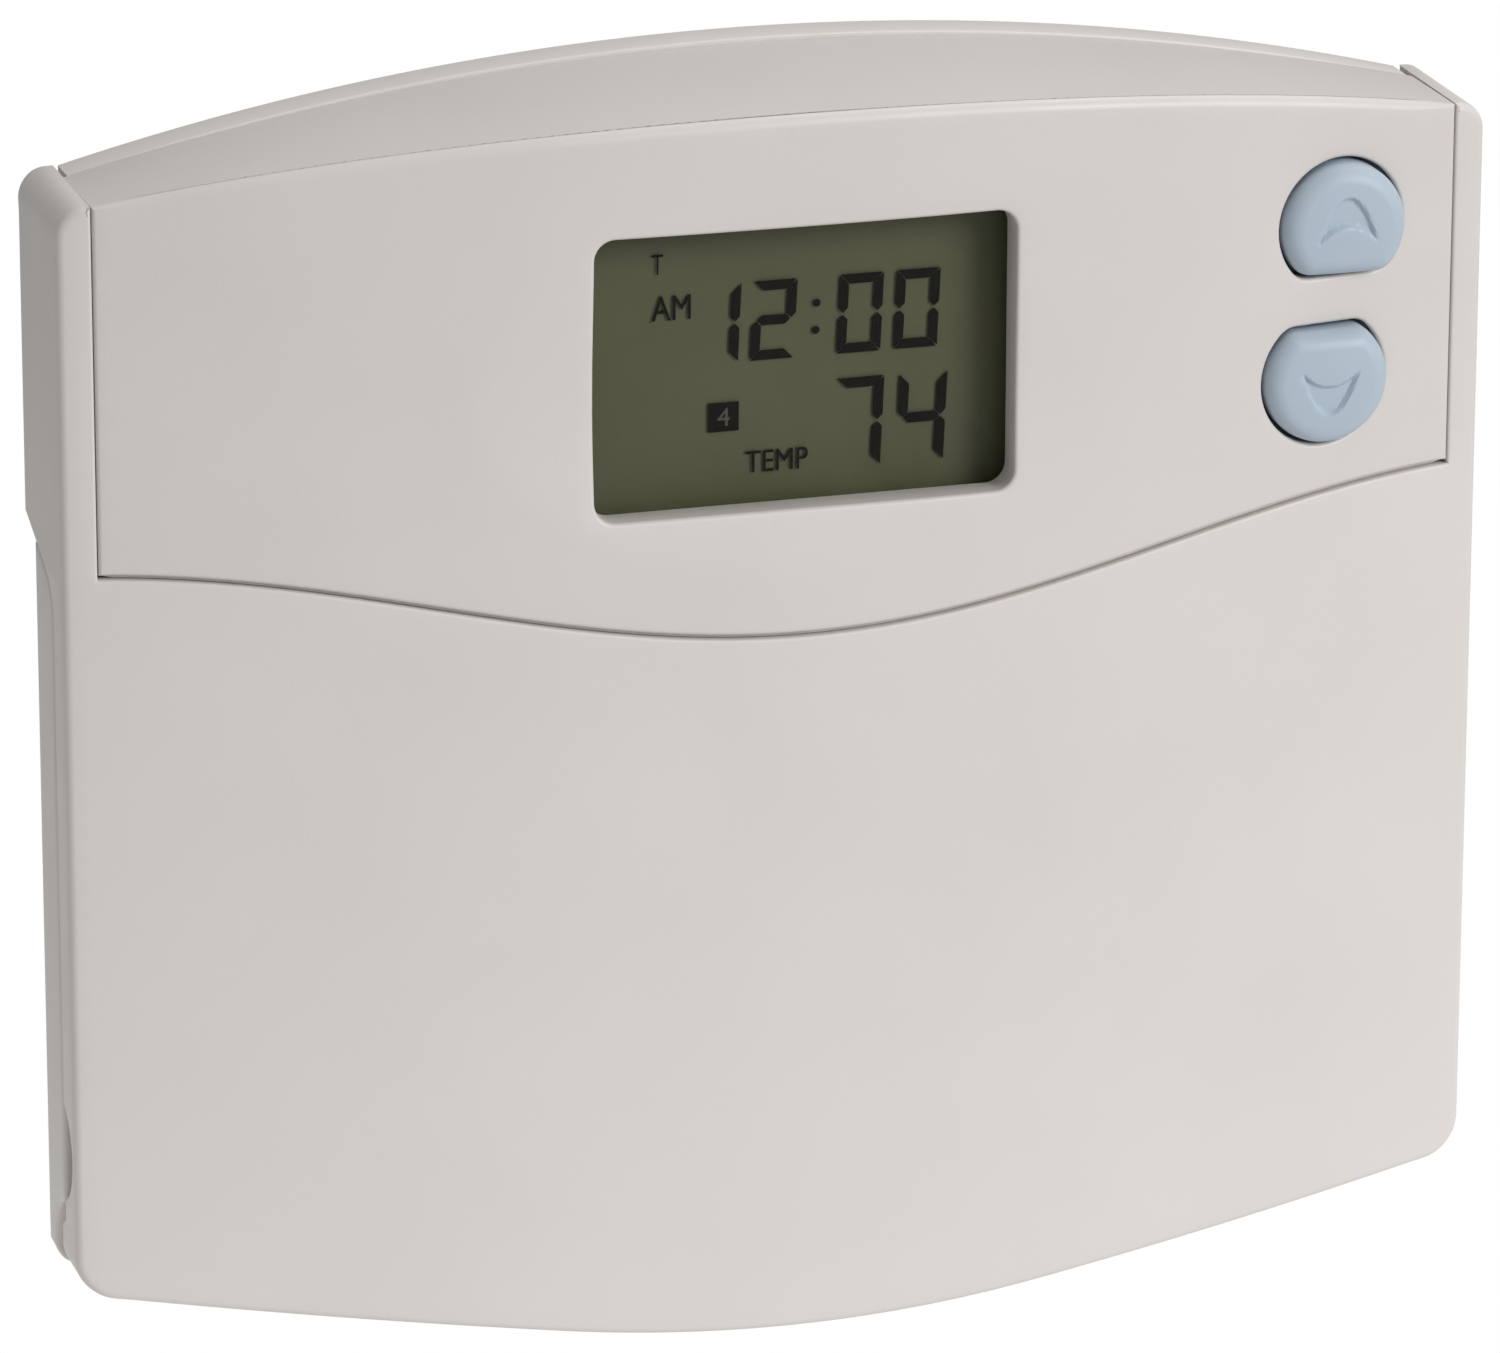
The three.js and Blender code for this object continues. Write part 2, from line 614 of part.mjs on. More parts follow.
// Door: curved front, side walls, the closed tops of the arms and the two hinge studs.
function door() {
  const outline = doorOutline();
  const planSkin = cut(
    slabZ(planOutline(HALF_WIDTH, 0, -10), -80, 80),
    slabZ(planOutline(HALF_WIDTH + 4, DOOR_WALL, -5), -81, 81),
  );
  const outlineBlock = slabY(outline, -32, 0);
  const front = planSkin.intersect(outlineBlock);
  const shape = doorSide();
  const sides = [
    [-HALF_WIDTH, -HALF_WIDTH + DOOR_WALL],
    [HALF_WIDTH - DOOR_WALL, HALF_WIDTH],
  ].map(([x0, x1]) => slabX(shape, x0, x1).intersect(outlineBlock));
  const armRoom = slabX(shape, -HALF_WIDTH - 1, HALF_WIDTH + 1);
  const capSection = (side) => {
    const innerX = HALF_WIDTH - CORNER_RADIUS;
    const highZ = ARM_TOP_Z - CORNER_RADIUS;
    const outer = cornerArc(side * innerX, highZ, CORNER_RADIUS, side > 0 ? 0 : 180, 90);
    const inner = cornerArc(side * innerX, highZ, CORNER_RADIUS - DOOR_WALL, 90, side > 0 ? 0 : 180);
    return [
      ...outer,
      new THREE.Vector2(side * ARM_INNER_X, ARM_TOP_Z),
      new THREE.Vector2(side * ARM_INNER_X, ARM_TOP_Z - DOOR_WALL),
      ...inner,
    ];
  };
  const caps = [-1, 1].map((side) =>
    slabY(capSection(side), -19.5, ARM_BACK_Y).intersect(armRoom),
  );
  const studs = [-1, 1].map((side) => {
    const root = side * (HALF_WIDTH - DOOR_WALL / 2);
    const tip = side * 66.1;
    return barX(HINGE_Y, HINGE_Z, HINGE_STUD_RADIUS, Math.min(root, tip), Math.max(root, tip));
  });
  return join(front, ...sides, ...caps, ...studs);
}

// Display stack, from the room inwards: lens, liquid-crystal cell, and the frame that holds both.
const LENS = { halfWidth: 23, halfHeight: 16, front: PAD_BACK + GAP, thickness: 1 };
const LCD = { halfWidth: 23.6, halfHeight: 17, front: -22.4, thickness: 2.6 };
const FRAME_Z = 15; // the rubber connectors' distance from the middle of the display

function lcdFrame() {
  const back = BOARD_FRONT - GAP;
  const ledgeFront = LCD.front + LCD.thickness + GAP;
  const outside = box(-26.5, 26.5, PAD_BACK + GAP, back, WINDOW_Z - 19.5, WINDOW_Z + 19.5);
  const pocket = box(-24, 24, -30, ledgeFront, WINDOW_Z - 17.4, WINDOW_Z + 17.4);
  const middle = box(-21, 21, -30, -10, WINDOW_Z - 12, WINDOW_Z + 12);
  const slots = [-1, 1].map((side) => {
    const z = WINDOW_Z + side * FRAME_Z;
    return box(-21, 21, -30, -10, z - 1.3, z + 1.3);
  });
  return cut(outside, pocket, middle, ...slots);
}

function rubberConnector(side) {
  const z = WINDOW_Z + side * FRAME_Z;
  const front = LCD.front + LCD.thickness + GAP;
  return box(-20, 20, front, BOARD_FRONT - GAP, z - 1, z + 1);
}

function circuitBoard() {
  const { halfWidth, low, high } = BOARD;
  const plate = box(-halfWidth, halfWidth, BOARD_FRONT, BOARD_BACK, low, high);
  const holes = BOARD_SCREWS.map(([x, z]) => barY(x, z, 1.6, -14, -10, 12));
  return cut(plate, ...holes);
}

function boardScrew([x, z]) {
  const head = barY(x, z, 2.6, BOARD_BACK + GAP, BOARD_BACK + GAP + 1.6, 12);
  const shank = barY(x, z, 1.1, -17, BOARD_BACK + GAP + 0.1, 10);
  const slotFloor = BOARD_BACK + GAP + 1;
  const slotAcross = box(x - 1.6, x + 1.6, slotFloor, slotFloor + 2, z - 0.3, z + 0.3);
  const slotUpright = box(x - 0.3, x + 0.3, slotFloor, slotFloor + 2, z - 1.6, z + 1.6);
  return cut(join(head, shank), slotAcross, slotUpright);
}

// Flat package with leads along two sides, on the front of the board.
function microcontroller() {
  const back = BOARD_FRONT - GAP;
  const body = box(-6, 6, back - 2, back - 0.2, -11, -1);
  const leads = across(-10, -2, 8).map((z) => box(-7.5, 7.5, back - 0.7, back, z - 0.25, z + 0.25));
  return join(body, ...leads);
}

function relay(x) {
  const back = BOARD_FRONT - GAP;
  const { low, high, halfWidth, height, rim } = RELAY;
  const body = box(x - halfWidth, x + halfWidth, back - height, back, low, high);
  const innerX = halfWidth - rim;
  const panel = box(x - innerX, x + innerX, back - height - 1, back - height + 0.3, low + rim, high - rim);
  return cut(body, panel);
}

// Push switch on the board, with its round plunger.
function pushSwitch(x, z, bodyHeight, plungerHeight) {
  const back = BOARD_FRONT - GAP;
  const front = back - bodyHeight;
  const body = box(x - 3, x + 3, front, back, z - 3, z + 3);
  return join(body, barY(x, z, 1.7, front - plungerHeight, front + 0.1, 12));
}

// Crescent arrow let into a button's face.
function arrowShape({ x, z, pointsUp }) {
  const up = pointsUp ? 1 : -1;
  const halfWidth = 2.75;
  const footZ = z - up * 0.95;
  return new THREE.Shape()
    .moveTo(x - halfWidth, footZ)
    .quadraticCurveTo(x, footZ + up * 2.6, x + halfWidth, footZ)
    .quadraticCurveTo(x, footZ + up * 8, x - halfWidth, footZ);
}

function largeButton(button) {
  const faceY = frontY(button.x) - BUTTON.proud;
  const profile = [
    [1, -19.6],
    [1, faceY + 1.5],
    [0.96, faceY + 0.7],
    [0.84, faceY + 0.2],
    [0.5, faceY],
  ];
  const rings = profile.map(([scale, y]) =>
    buttonOutline(button, 0, scale).map((point) => new THREE.Vector3(point.x, y, point.y)),
  );
  const flange = slabY(buttonOutline(button, 1.1), -19.6, -18);
  return cut(join(skinOver(rings), flange), slabY(arrowShape(button), faceY - 1, faceY + 0.5));
}

function smallKey(x, z) {
  const front = PANEL_Y - KEY.proud;
  const cap = slabY(roundedRectangle(x, z, KEY.width, KEY.height, KEY.corner), front, -15.6);
  const flange = slabY(roundedRectangle(x, z, 11.4, 8, 1.5), -15.7, -14.9);
  return join(cap, flange);
}

// Sliding knob: a ribbed grip in front of the panel on a plate behind it.
function sliderKnob({ restX: x, z }) {
  const front = PANEL_Y - SLIDER.proud;
  const halfWidth = SLIDER.width / 2;
  const halfHeight = SLIDER.height / 2;
  const plateFront = PANEL_Y + WALL + GAP;
  const plateBack = plateFront + SLIDER.plateThickness;
  const grip = box(x - halfWidth, x + halfWidth, front, plateBack, z - halfHeight, z + halfHeight);
  const plate = box(x - 6.5, x + 6.5, plateFront, plateBack, z - 3.4, z + 3.4);
  const grooves = [-1.2, 0, 1.2].map((dx) =>
    box(x + dx - 0.25, x + dx + 0.25, front - 1, front + 0.5, z - 3, z + 3),
  );
  return cut(join(grip, plate), ...grooves);
}

function slideSwitch({ x, z, travel }) {
  const back = BOARD_FRONT - GAP;
  const halfWidth = 7 + travel;
  return box(x - halfWidth, x + halfWidth, back - 1.4, back, z - 3.8, z + 3.8);
}

// AA cell along X, with its button end at +X or -X.
function cell(z, side) {
  const { radius, length, y } = CELL;
  const profile = [
    [0, -length / 2],
    [4.2, -length / 2],
    [4.4, -length / 2 + 0.3],
    [radius - 0.6, -length / 2 + 0.3],
    [radius, -length / 2 + 0.9],
    [radius, length / 2 - 2.2],
    [radius - 0.6, length / 2 - 1.5],
    [2.8, length / 2 - 1.4],
    [2.6, length / 2],
    [0, length / 2],
  ].map(([r, along]) => new THREE.Vector2(r, along));
  const geometry = new THREE.LatheGeometry(profile, 20);
  return solidOf(geometry.rotateZ((-side * Math.PI) / 2).translate(0, y, z));
}

// Flat contact at a cell's button end, with a raised dimple.
function contactPlate(z, side) {
  const wallX = BAY.halfWidth - GAP;
  const [x0, x1] = side > 0 ? [wallX - 0.5, wallX] : [-wallX, -wallX + 0.5];
  const plate = box(x0, x1, CELL.y - 5, CELL.y + 5, z - 5, z + 5);
  const tipX = side * (CELL.length / 2 + GAP);
  const dimple = barX(CELL.y, z, 2, Math.min(tipX, x0 + 0.1), Math.max(tipX, x1 - 0.1), 12);
  return join(plate, dimple);
}

// Conical spring at a cell's flat end, wound from the contact plate down to its tip.
function contactSpring(z, side) {
  const wallX = BAY.halfWidth - GAP;
  const plateFaceX = wallX - 0.5;
  const [x0, x1] = side > 0 ? [plateFaceX, wallX] : [-wallX, -plateFaceX];
  const plate = box(x0, x1, CELL.y - 5, CELL.y + 5, z - 5, z + 5);
  const wireRadius = 0.35;
  const turns = 2.5;
  const farX = CELL.length / 2 + GAP + wireRadius;
  const points = across(0, 1, 30).map((t) => {
    const turn = t * turns * 2 * Math.PI;
    const reach = 4.2 - 2.2 * t;
    const x = side * (plateFaceX - 0.1 + (farX - plateFaceX + 0.1) * t);
    return new THREE.Vector3(x, CELL.y + reach * Math.cos(turn), z + reach * Math.sin(turn));
  });
  const wire = new THREE.Shape().absarc(0, 0, wireRadius, 0, 2 * Math.PI);
  const geometry = new THREE.ExtrudeGeometry(wire, {
    steps: 30,
    curveSegments: 3,
    bevelEnabled: false,
    extrudePath: new THREE.CatmullRomCurve3(points),
  });
  return join(plate, solidOf(geometry));
}

// Pins from the back of the board into the terminal block.
function contactHeader() {
  const front = BOARD_BACK + GAP;
  const base = box(-19, 19, front, front + 0.7, TERMINAL_PIN_Z - 1.5, TERMINAL_PIN_Z + 1.5);
  const pins = TERMINAL_SCREWS.map((x) => barY(x, TERMINAL_PIN_Z, 0.5, front + 0.6, -6.9, 8));
  return join(base, ...pins);
}

function thermistor() {
  const back = BOARD_FRONT - GAP;
  const { x, z, radius, lift } = THERMISTOR;
  const geometry = new THREE.SphereGeometry(radius, 10, 6).translate(x, back - lift, z);
  const legs = [x - radius / 2, x + radius / 2].map((legX) =>
    box(legX - 0.2, legX + 0.2, back - lift, back, z - 0.2, z + 0.2),
  );
  return join(solidOf(geometry), ...legs);
}

function capacitor() {
  const back = BOARD_FRONT - GAP;
  const { x, z, radius, height } = CAPACITOR;
  const can = barY(x, z, radius, back - height, back);
  const dimple = barY(x, z, radius - 0.6, back - height - 1, back - height + 0.3);
  return cut(can, dimple);
}

function crystal() {
  const back = BOARD_FRONT - GAP;
  const { x, z, width, height, lift } = CRYSTAL;
  const outline = roundedRectangle(x, z, width, height, height / 2 - 0.1);
  const flange = roundedRectangle(x, z, width + 1, height + 0.8, height / 2 + 0.3);
  return join(slabY(outline, back - lift, back), slabY(flange, back - 0.5, back));
}

add("wall_plate", wallPlate(), COLOURS.casing, 0.6);
add("terminal_block", terminalBlock(), COLOURS.terminal);
TERMINAL_SCREWS.forEach((x, i) => {
  add(`terminal_screw_${i + 1}`, terminalScrew(x), COLOURS.steel, 0.3, 1);
});
add("rear_case", rearCase(), COLOURS.casing, 0.6);
add("front_case", frontCase(), COLOURS.casing, 0.6);
add("door", door(), COLOURS.casing, 0.6);

const lensBack = LENS.front + LENS.thickness;
const lensLow = WINDOW_Z - LENS.halfHeight;
const lensHigh = WINDOW_Z + LENS.halfHeight;
add(
  "display_lens",
  box(-LENS.halfWidth, LENS.halfWidth, LENS.front, lensBack, lensLow, lensHigh),
  COLOURS.lens,
  0.1,
);
const lcdBack = LCD.front + LCD.thickness;
const lcdLow = WINDOW_Z - LCD.halfHeight;
const lcdHigh = WINDOW_Z + LCD.halfHeight;
add("lcd_cell", box(-LCD.halfWidth, LCD.halfWidth, LCD.front, lcdBack, lcdLow, lcdHigh), COLOURS.lcd, 0.2);
add("lcd_frame", lcdFrame(), COLOURS.black);
add("lcd_connector_upper", rubberConnector(1), COLOURS.rubber, 0.8);
add("lcd_connector_lower", rubberConnector(-1), COLOURS.rubber, 0.8);

add("circuit_board", circuitBoard(), COLOURS.board, 0.5);
BOARD_SCREWS.forEach((place, i) => {
  add(`board_screw_${i + 1}`, boardScrew(place), COLOURS.steel, 0.3, 1);
});
add("microcontroller", microcontroller(), COLOURS.black);
for (const [name, x] of Object.entries(RELAYS)) {
  add(`${name}_relay`, relay(x), COLOURS.relay);
}
add("thermistor", thermistor(), COLOURS.black, 0.3);
add("crystal", crystal(), COLOURS.steel, 0.3, 1);
add("capacitor", capacitor(), COLOURS.black, 0.4);
add("contact_header", contactHeader(), COLOURS.steel, 0.3, 1);

for (const [name, button] of Object.entries(BUTTONS)) {
  add(`${name}_button`, largeButton(button), COLOURS.button, 0.5);
  add(`${name}_switch`, pushSwitch(button.x, button.z, 3.5, 0.6), COLOURS.black);
}
KEY_ROWS.forEach((z, row) => {
  KEY_COLUMNS.forEach((x, column) => {
    const name = KEY_NAMES[row][column];
    add(name, smallKey(x, z), COLOURS.key);
    add(`${name}_switch`, pushSwitch(x, z, 0.8, 0.3), COLOURS.steel, 0.3, 1);
  });
});
for (const [name, slider] of Object.entries(SLIDERS)) {
  add(`${name}_switch`, slideSwitch(slider), COLOURS.steel, 0.3, 1);
  add(`${name}_slider`, sliderKnob(slider), COLOURS.slider);
}

for (const [place, z, side] of [
  ["upper", CELL.upperZ, 1],
  ["lower", CELL.lowerZ, -1],
]) {
  add(`battery_${place}`, cell(z, side), COLOURS.cell, 0.35);
  add(`battery_contact_${place}`, contactPlate(z, side), COLOURS.spring, 0.3, 1);
  add(`battery_spring_${place}`, contactSpring(z, -side), COLOURS.spring, 0.3, 1);
}

export default group;
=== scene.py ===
"""Looks of a wall thermostat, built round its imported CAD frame.

Lengths are in millimetres until a mesh is made, and the axes are the frame's: X to the right and
+Z up as seen from the room, the wall at Y = 0, and the room on the -Y side.
"""

import math
from dataclasses import dataclass, replace

import bmesh
import bpy
import numpy as np
from mathutils import Matrix, Vector
from mathutils.geometry import delaunay_2d_cdt


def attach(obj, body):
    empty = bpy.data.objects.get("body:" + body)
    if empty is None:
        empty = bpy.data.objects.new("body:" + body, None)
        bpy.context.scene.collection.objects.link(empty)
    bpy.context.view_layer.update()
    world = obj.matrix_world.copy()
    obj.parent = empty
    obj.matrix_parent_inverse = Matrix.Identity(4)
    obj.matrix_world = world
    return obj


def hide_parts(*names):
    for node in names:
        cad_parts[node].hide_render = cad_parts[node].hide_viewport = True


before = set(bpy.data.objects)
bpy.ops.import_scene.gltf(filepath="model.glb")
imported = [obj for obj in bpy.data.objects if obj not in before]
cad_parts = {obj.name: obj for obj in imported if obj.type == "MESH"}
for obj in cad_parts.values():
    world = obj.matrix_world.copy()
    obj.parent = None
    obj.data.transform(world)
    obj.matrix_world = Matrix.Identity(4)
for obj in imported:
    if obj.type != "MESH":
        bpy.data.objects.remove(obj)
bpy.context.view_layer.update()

MM = 0.001
ROOM = -1  # a face that looks into the room, along -Y
WALLWARDS = 1  # a face that looks at the wall, along +Y
SIDES = {-1: "left", 1: "right"}

# ---- sizes, as in the CAD

HALF_WIDTH = 70
SIDE_DEPTH = 20
FRONT_BULGE = 8
WALL = 2

TOP_Z = 61.8
TOP_BACK_RADIUS = 260
TOP_FRONT_Z = 58.9
TOP_FRONT_RADIUS = 400
BOTTOM_Z = -61.7
BOTTOM_RADIUS = 178
BOTTOM_ARC_X = 24
SEAM_HIGH_Z = 17.9
SEAM_WAVE = 9.25
SEAM_HALF_WAVE = 68
SEAM_GAP = 0.42
SEAM_LIP = 0.33  # step out of the panel's edge, a little way down the seam
SEAM_SIDE_LIP = 0.06
SEAM_ROUNDING = 0.5
LIP_DEPTH = 0.8  # how far behind the front the lip begins
LIP_RISE = 0.08

PLATE_FRONT = -4
REAR_CASE_BACK = -4.3
REAR_CASE_FRONT = -8.7
CASE_BACK = -8.8
PANEL_Y = -18
FACE_HALF_WIDTH = 66.65
BODY_HALF_WIDTH = 67.5
BODY_SHOULDER_Z = 51
CASE_INSET = 1
CORNER_RADIUS = 3
DOOR_LOW_CORNER = 4.2

DOOR_WALL = 1.8
ARM_INNER_X = 66.75
ARM_CLEARANCE = 0.55  # between an arm and the pieces behind the front case
ARM_TOP_Z = 53.3
ARM_BACK_Y = -4.4
ARM_BACK_RADIUS = 0.6
SIDE_SHALLOW_Y = -15.6
SIDE_BEND = {"low_z": 12, "bend_z": 15.6, "high_y": -12, "high_z": 17}
ARM_LOW_Z = 20
HINGE_Y = -16
HINGE_Z = -50.6
HINGE_RADIUS = 1.2
FOOT_ROOM_RADIUS = 4.6

WINDOW_HALF_WIDTH = 20.6
WINDOW_LOW = 20.7
WINDOW_HIGH = 48.2
WINDOW_CORNER = 2
WINDOW_Z = (WINDOW_LOW + WINDOW_HIGH) / 2
DISH_Z = 33.2
DISH_HALF_WIDTH = 32.4
DISH_HALF_HEIGHT = 18.9
DISH_DEPTH = 0.5
DISH_TILT = (0.016, 0.015)  # how much deeper it gets for each mm to the left, and for each mm down
DISH_SLOPE = 0.36  # share of the dish that its slope takes up
DISH_CURVE = 1.4
PAD_BACK = -24

BUTTON_RADIUS = 6.2
BUTTON_CORNER = 2
BUTTON_PROUD = 2.3
BUTTON_GAP = 0.4
BUTTON_FLANGE = 1.1
BUTTON_CROWN = 40
# X and Z of the middle, distance from there to the flat side, and 1 for up or -1 for down
BUTTONS = {"up_button": (54.4, 43, 4.6, 1), "down_button": (52.8, 28, 5, -1)}

KEY_WIDTH = 9
KEY_HEIGHT = 5.6
KEY_CORNER = 2.2
KEY_PROUD = 1.6
KEY_GAP = 0.4
KEY_FLANGE = (11.4, 8)
KEYS = {
    **{"day_key": (-48, 0), "time_key": (-33, 0), "program_key": (-18, 0)},
    **{"hold_key": (-48, -12), "return_key": (-33, -12), "filter_key": (-18, -12)},
}
SLIDER_Z = -5
SLIDERS = {"system_slider": (22, 22, 3), "fan_slider": (46, 44, 2)}  # slot X, knob X, travel

CELL_RADIUS = 7.25
CELL_LENGTH = 50.5
CELL_Y = -15.6
CELLS = {"battery_upper": (-32.2, 1), "battery_lower": (-47.4, -1)}
BAY_HALF_WIDTH = 28.4
BAY_LOW = -55.3
BAY_HIGH = -24.3
BAY_Z = (BAY_LOW + BAY_HIGH) / 2
BAY_FLOOR_FRONT = -8
BAY_FLOOR_BACK = -6.5
BAY_RIM_Y = -21
BAY_RIM_LOW = -50
SADDLE_X = 17


def front_y(x, z=0):
    return -SIDE_DEPTH - FRONT_BULGE * (1 - (x / HALF_WIDTH) ** 2)


def sag(x, radius):
    return radius - math.sqrt(radius * radius - x * x)


def top_back_z(x):
    return TOP_Z - sag(x, TOP_BACK_RADIUS)


def top_front_z(x):
    return TOP_FRONT_Z - sag(x, TOP_FRONT_RADIUS)


def top_rise(x):
    """How fast the top of the case climbs towards the wall."""
    return (top_back_z(x) - top_front_z(x)) / (ARM_BACK_Y + SIDE_DEPTH + FRONT_BULGE)


def top_edge_z(x):
    """Z of the edge between the top of the case and its bowed front."""
    return top_front_z(x) + top_rise(x) * (front_y(x) + SIDE_DEPTH + FRONT_BULGE)


def seam_z(x):
    return SEAM_HIGH_Z - SEAM_WAVE / 2 * (1 + math.cos(math.pi * x / SEAM_HALF_WAVE))


def bottom_z(x):
    away = abs(x)
    slope = BOTTOM_ARC_X / math.sqrt(BOTTOM_RADIUS**2 - BOTTOM_ARC_X**2)
    on_arc = min(away, BOTTOM_ARC_X)
    return BOTTOM_Z + sag(on_arc, BOTTOM_RADIUS) + slope * (away - on_arc)


def panel_y(x, z):
    """The display panel's front: the bowed face with a dish, deepest at the lower left."""
    out = math.hypot(x / DISH_HALF_WIDTH, (z - DISH_Z) / DISH_HALF_HEIGHT)
    inward = min(max((1 - out) / DISH_SLOPE, 0), 1)
    deepest = DISH_DEPTH - DISH_TILT[0] * x - DISH_TILT[1] * (z - DISH_Z)
    return front_y(x) + max(deepest, 0) * inward**DISH_CURVE


def smooth(t):
    """Eases from 0 to 1, and stays level outside them."""
    t = min(max(t, 0), 1)
    return t * t * (3 - 2 * t)


# ---- mesh making


def steps(start, end, spacing):
    """Evenly spaced values from start to end, no further apart than spacing."""
    count = max(1, math.ceil(abs(end - start) / spacing))
    return [start + (end - start) * i / count for i in range(count + 1)]


@dataclass
class Edge:
    """One place on the outline of a moulded shell."""

    x: float
    z: float
    radius: float = 0.4  # rounding of the front edge
    reach: float = None  # Y where the wall behind the edge ends; None for no wall
    wall: float = 0.2  # thickness of that wall
    rise: float = 0.0  # climb of the wall in Z for each mm of depth
    inner: tuple = None  # X and Z of the wall's inner side, where it isn't just the thickness
    back: float = 0.15  # rounding of the wall's far edge
    lip: float = 0.0  # step outwards, a little behind the front edge

    def shifted(self, away, by):
        """X and Z of a place that is a distance away from the edge, in a direction."""
        return self.x + away.x * by, self.z + away.y * by


def loop_at(points, **same):
    return [Edge(x, z, **same) for x, z in points]


def arc(x, z, radius, start, end, spacing=0.6):
    """Points of a circle's arc, between two angles in degrees."""
    turn = abs(math.radians(end - start)) * radius
    count = max(2, math.ceil(turn / spacing))
    angles = [math.radians(start + (end - start) * i / count) for i in range(count + 1)]
    return [(x + radius * math.cos(a), z + radius * math.sin(a)) for a in angles]


def thinned(points):
    """The closed outline without the points that repeat the one before."""
    least = 1e-4
    kept = []
    for point in points:
        if not kept or math.dist(point, kept[-1]) > least:
            kept.append(point)
    if math.dist(kept[0], kept[-1]) <= least:
        kept.pop()
    return kept


def dense(points, spacing=1.2):
    """The closed outline with points added along its long sides."""
    result = []
    for i, a in enumerate(points):
        b = points[(i + 1) % len(points)]
        count = max(1, math.ceil(math.dist(a, b) / spacing))
        result += [
            (a[0] + (b[0] - a[0]) * k / count, a[1] + (b[1] - a[1]) * k / count)
            for k in range(count)
        ]
    return result


def rounded_box(x, z, width, height, corner, spacing=1.2):
    dx = width / 2 - corner
    dz = height / 2 - corner
    points = []
    for sx, sz, start in [(1, 1, 0), (-1, 1, 90), (-1, -1, 180), (1, -1, 270)]:
        points += arc(x + sx * dx, z + sz * dz, corner, start, start + 90, 0.35)
    return dense(thinned(points), spacing)


def both_halves(right):
    """A closed outline from its right half, which runs from the bottom middle to the top middle."""
    left = []
    for edge in reversed(right[1:-1]):
        inner = (-edge.inner[0], edge.inner[1]) if edge.inner else None
        left.append(replace(edge, x=-edge.x, inner=inner))
    return right + left


def outward(loop):
    """Unit steps out of the material at each place of a loop, lengthened at its corners."""
    size = len(loop)
    found = []
    for i in range(size):
        before, here, after = loop[i - 1], loop[i], loop[(i + 1) % size]
        a = Vector((here.z - before.z, before.x - here.x)).normalized()
        b = Vector((after.z - here.z, here.x - after.x)).normalized()
        middle = a + b
        found.append(middle * (2 / max(middle.length_squared, 0.5)))
    return found


def inside(points, loops):
    """Which of the points lie inside an odd number of the loops."""
    odd = np.zeros(len(points), bool)
    x, z = points[:, 0], points[:, 1]
    for loop in loops:
        for (x0, z0), (x1, z1) in zip(loop, np.roll(loop, -1, axis=0)):
            if z0 == z1:
                continue
            crosses = (z0 > z) != (z1 > z)
            odd ^= crosses & (x < x0 + (z - z0) * (x1 - x0) / (z1 - z0))
    return odd


SHARP_ANGLE = 32  # degrees between two faces from which their edge is drawn sharp
MERGE_DISTANCE = 2e-7  # metres
ROUNDING_STEPS = 5


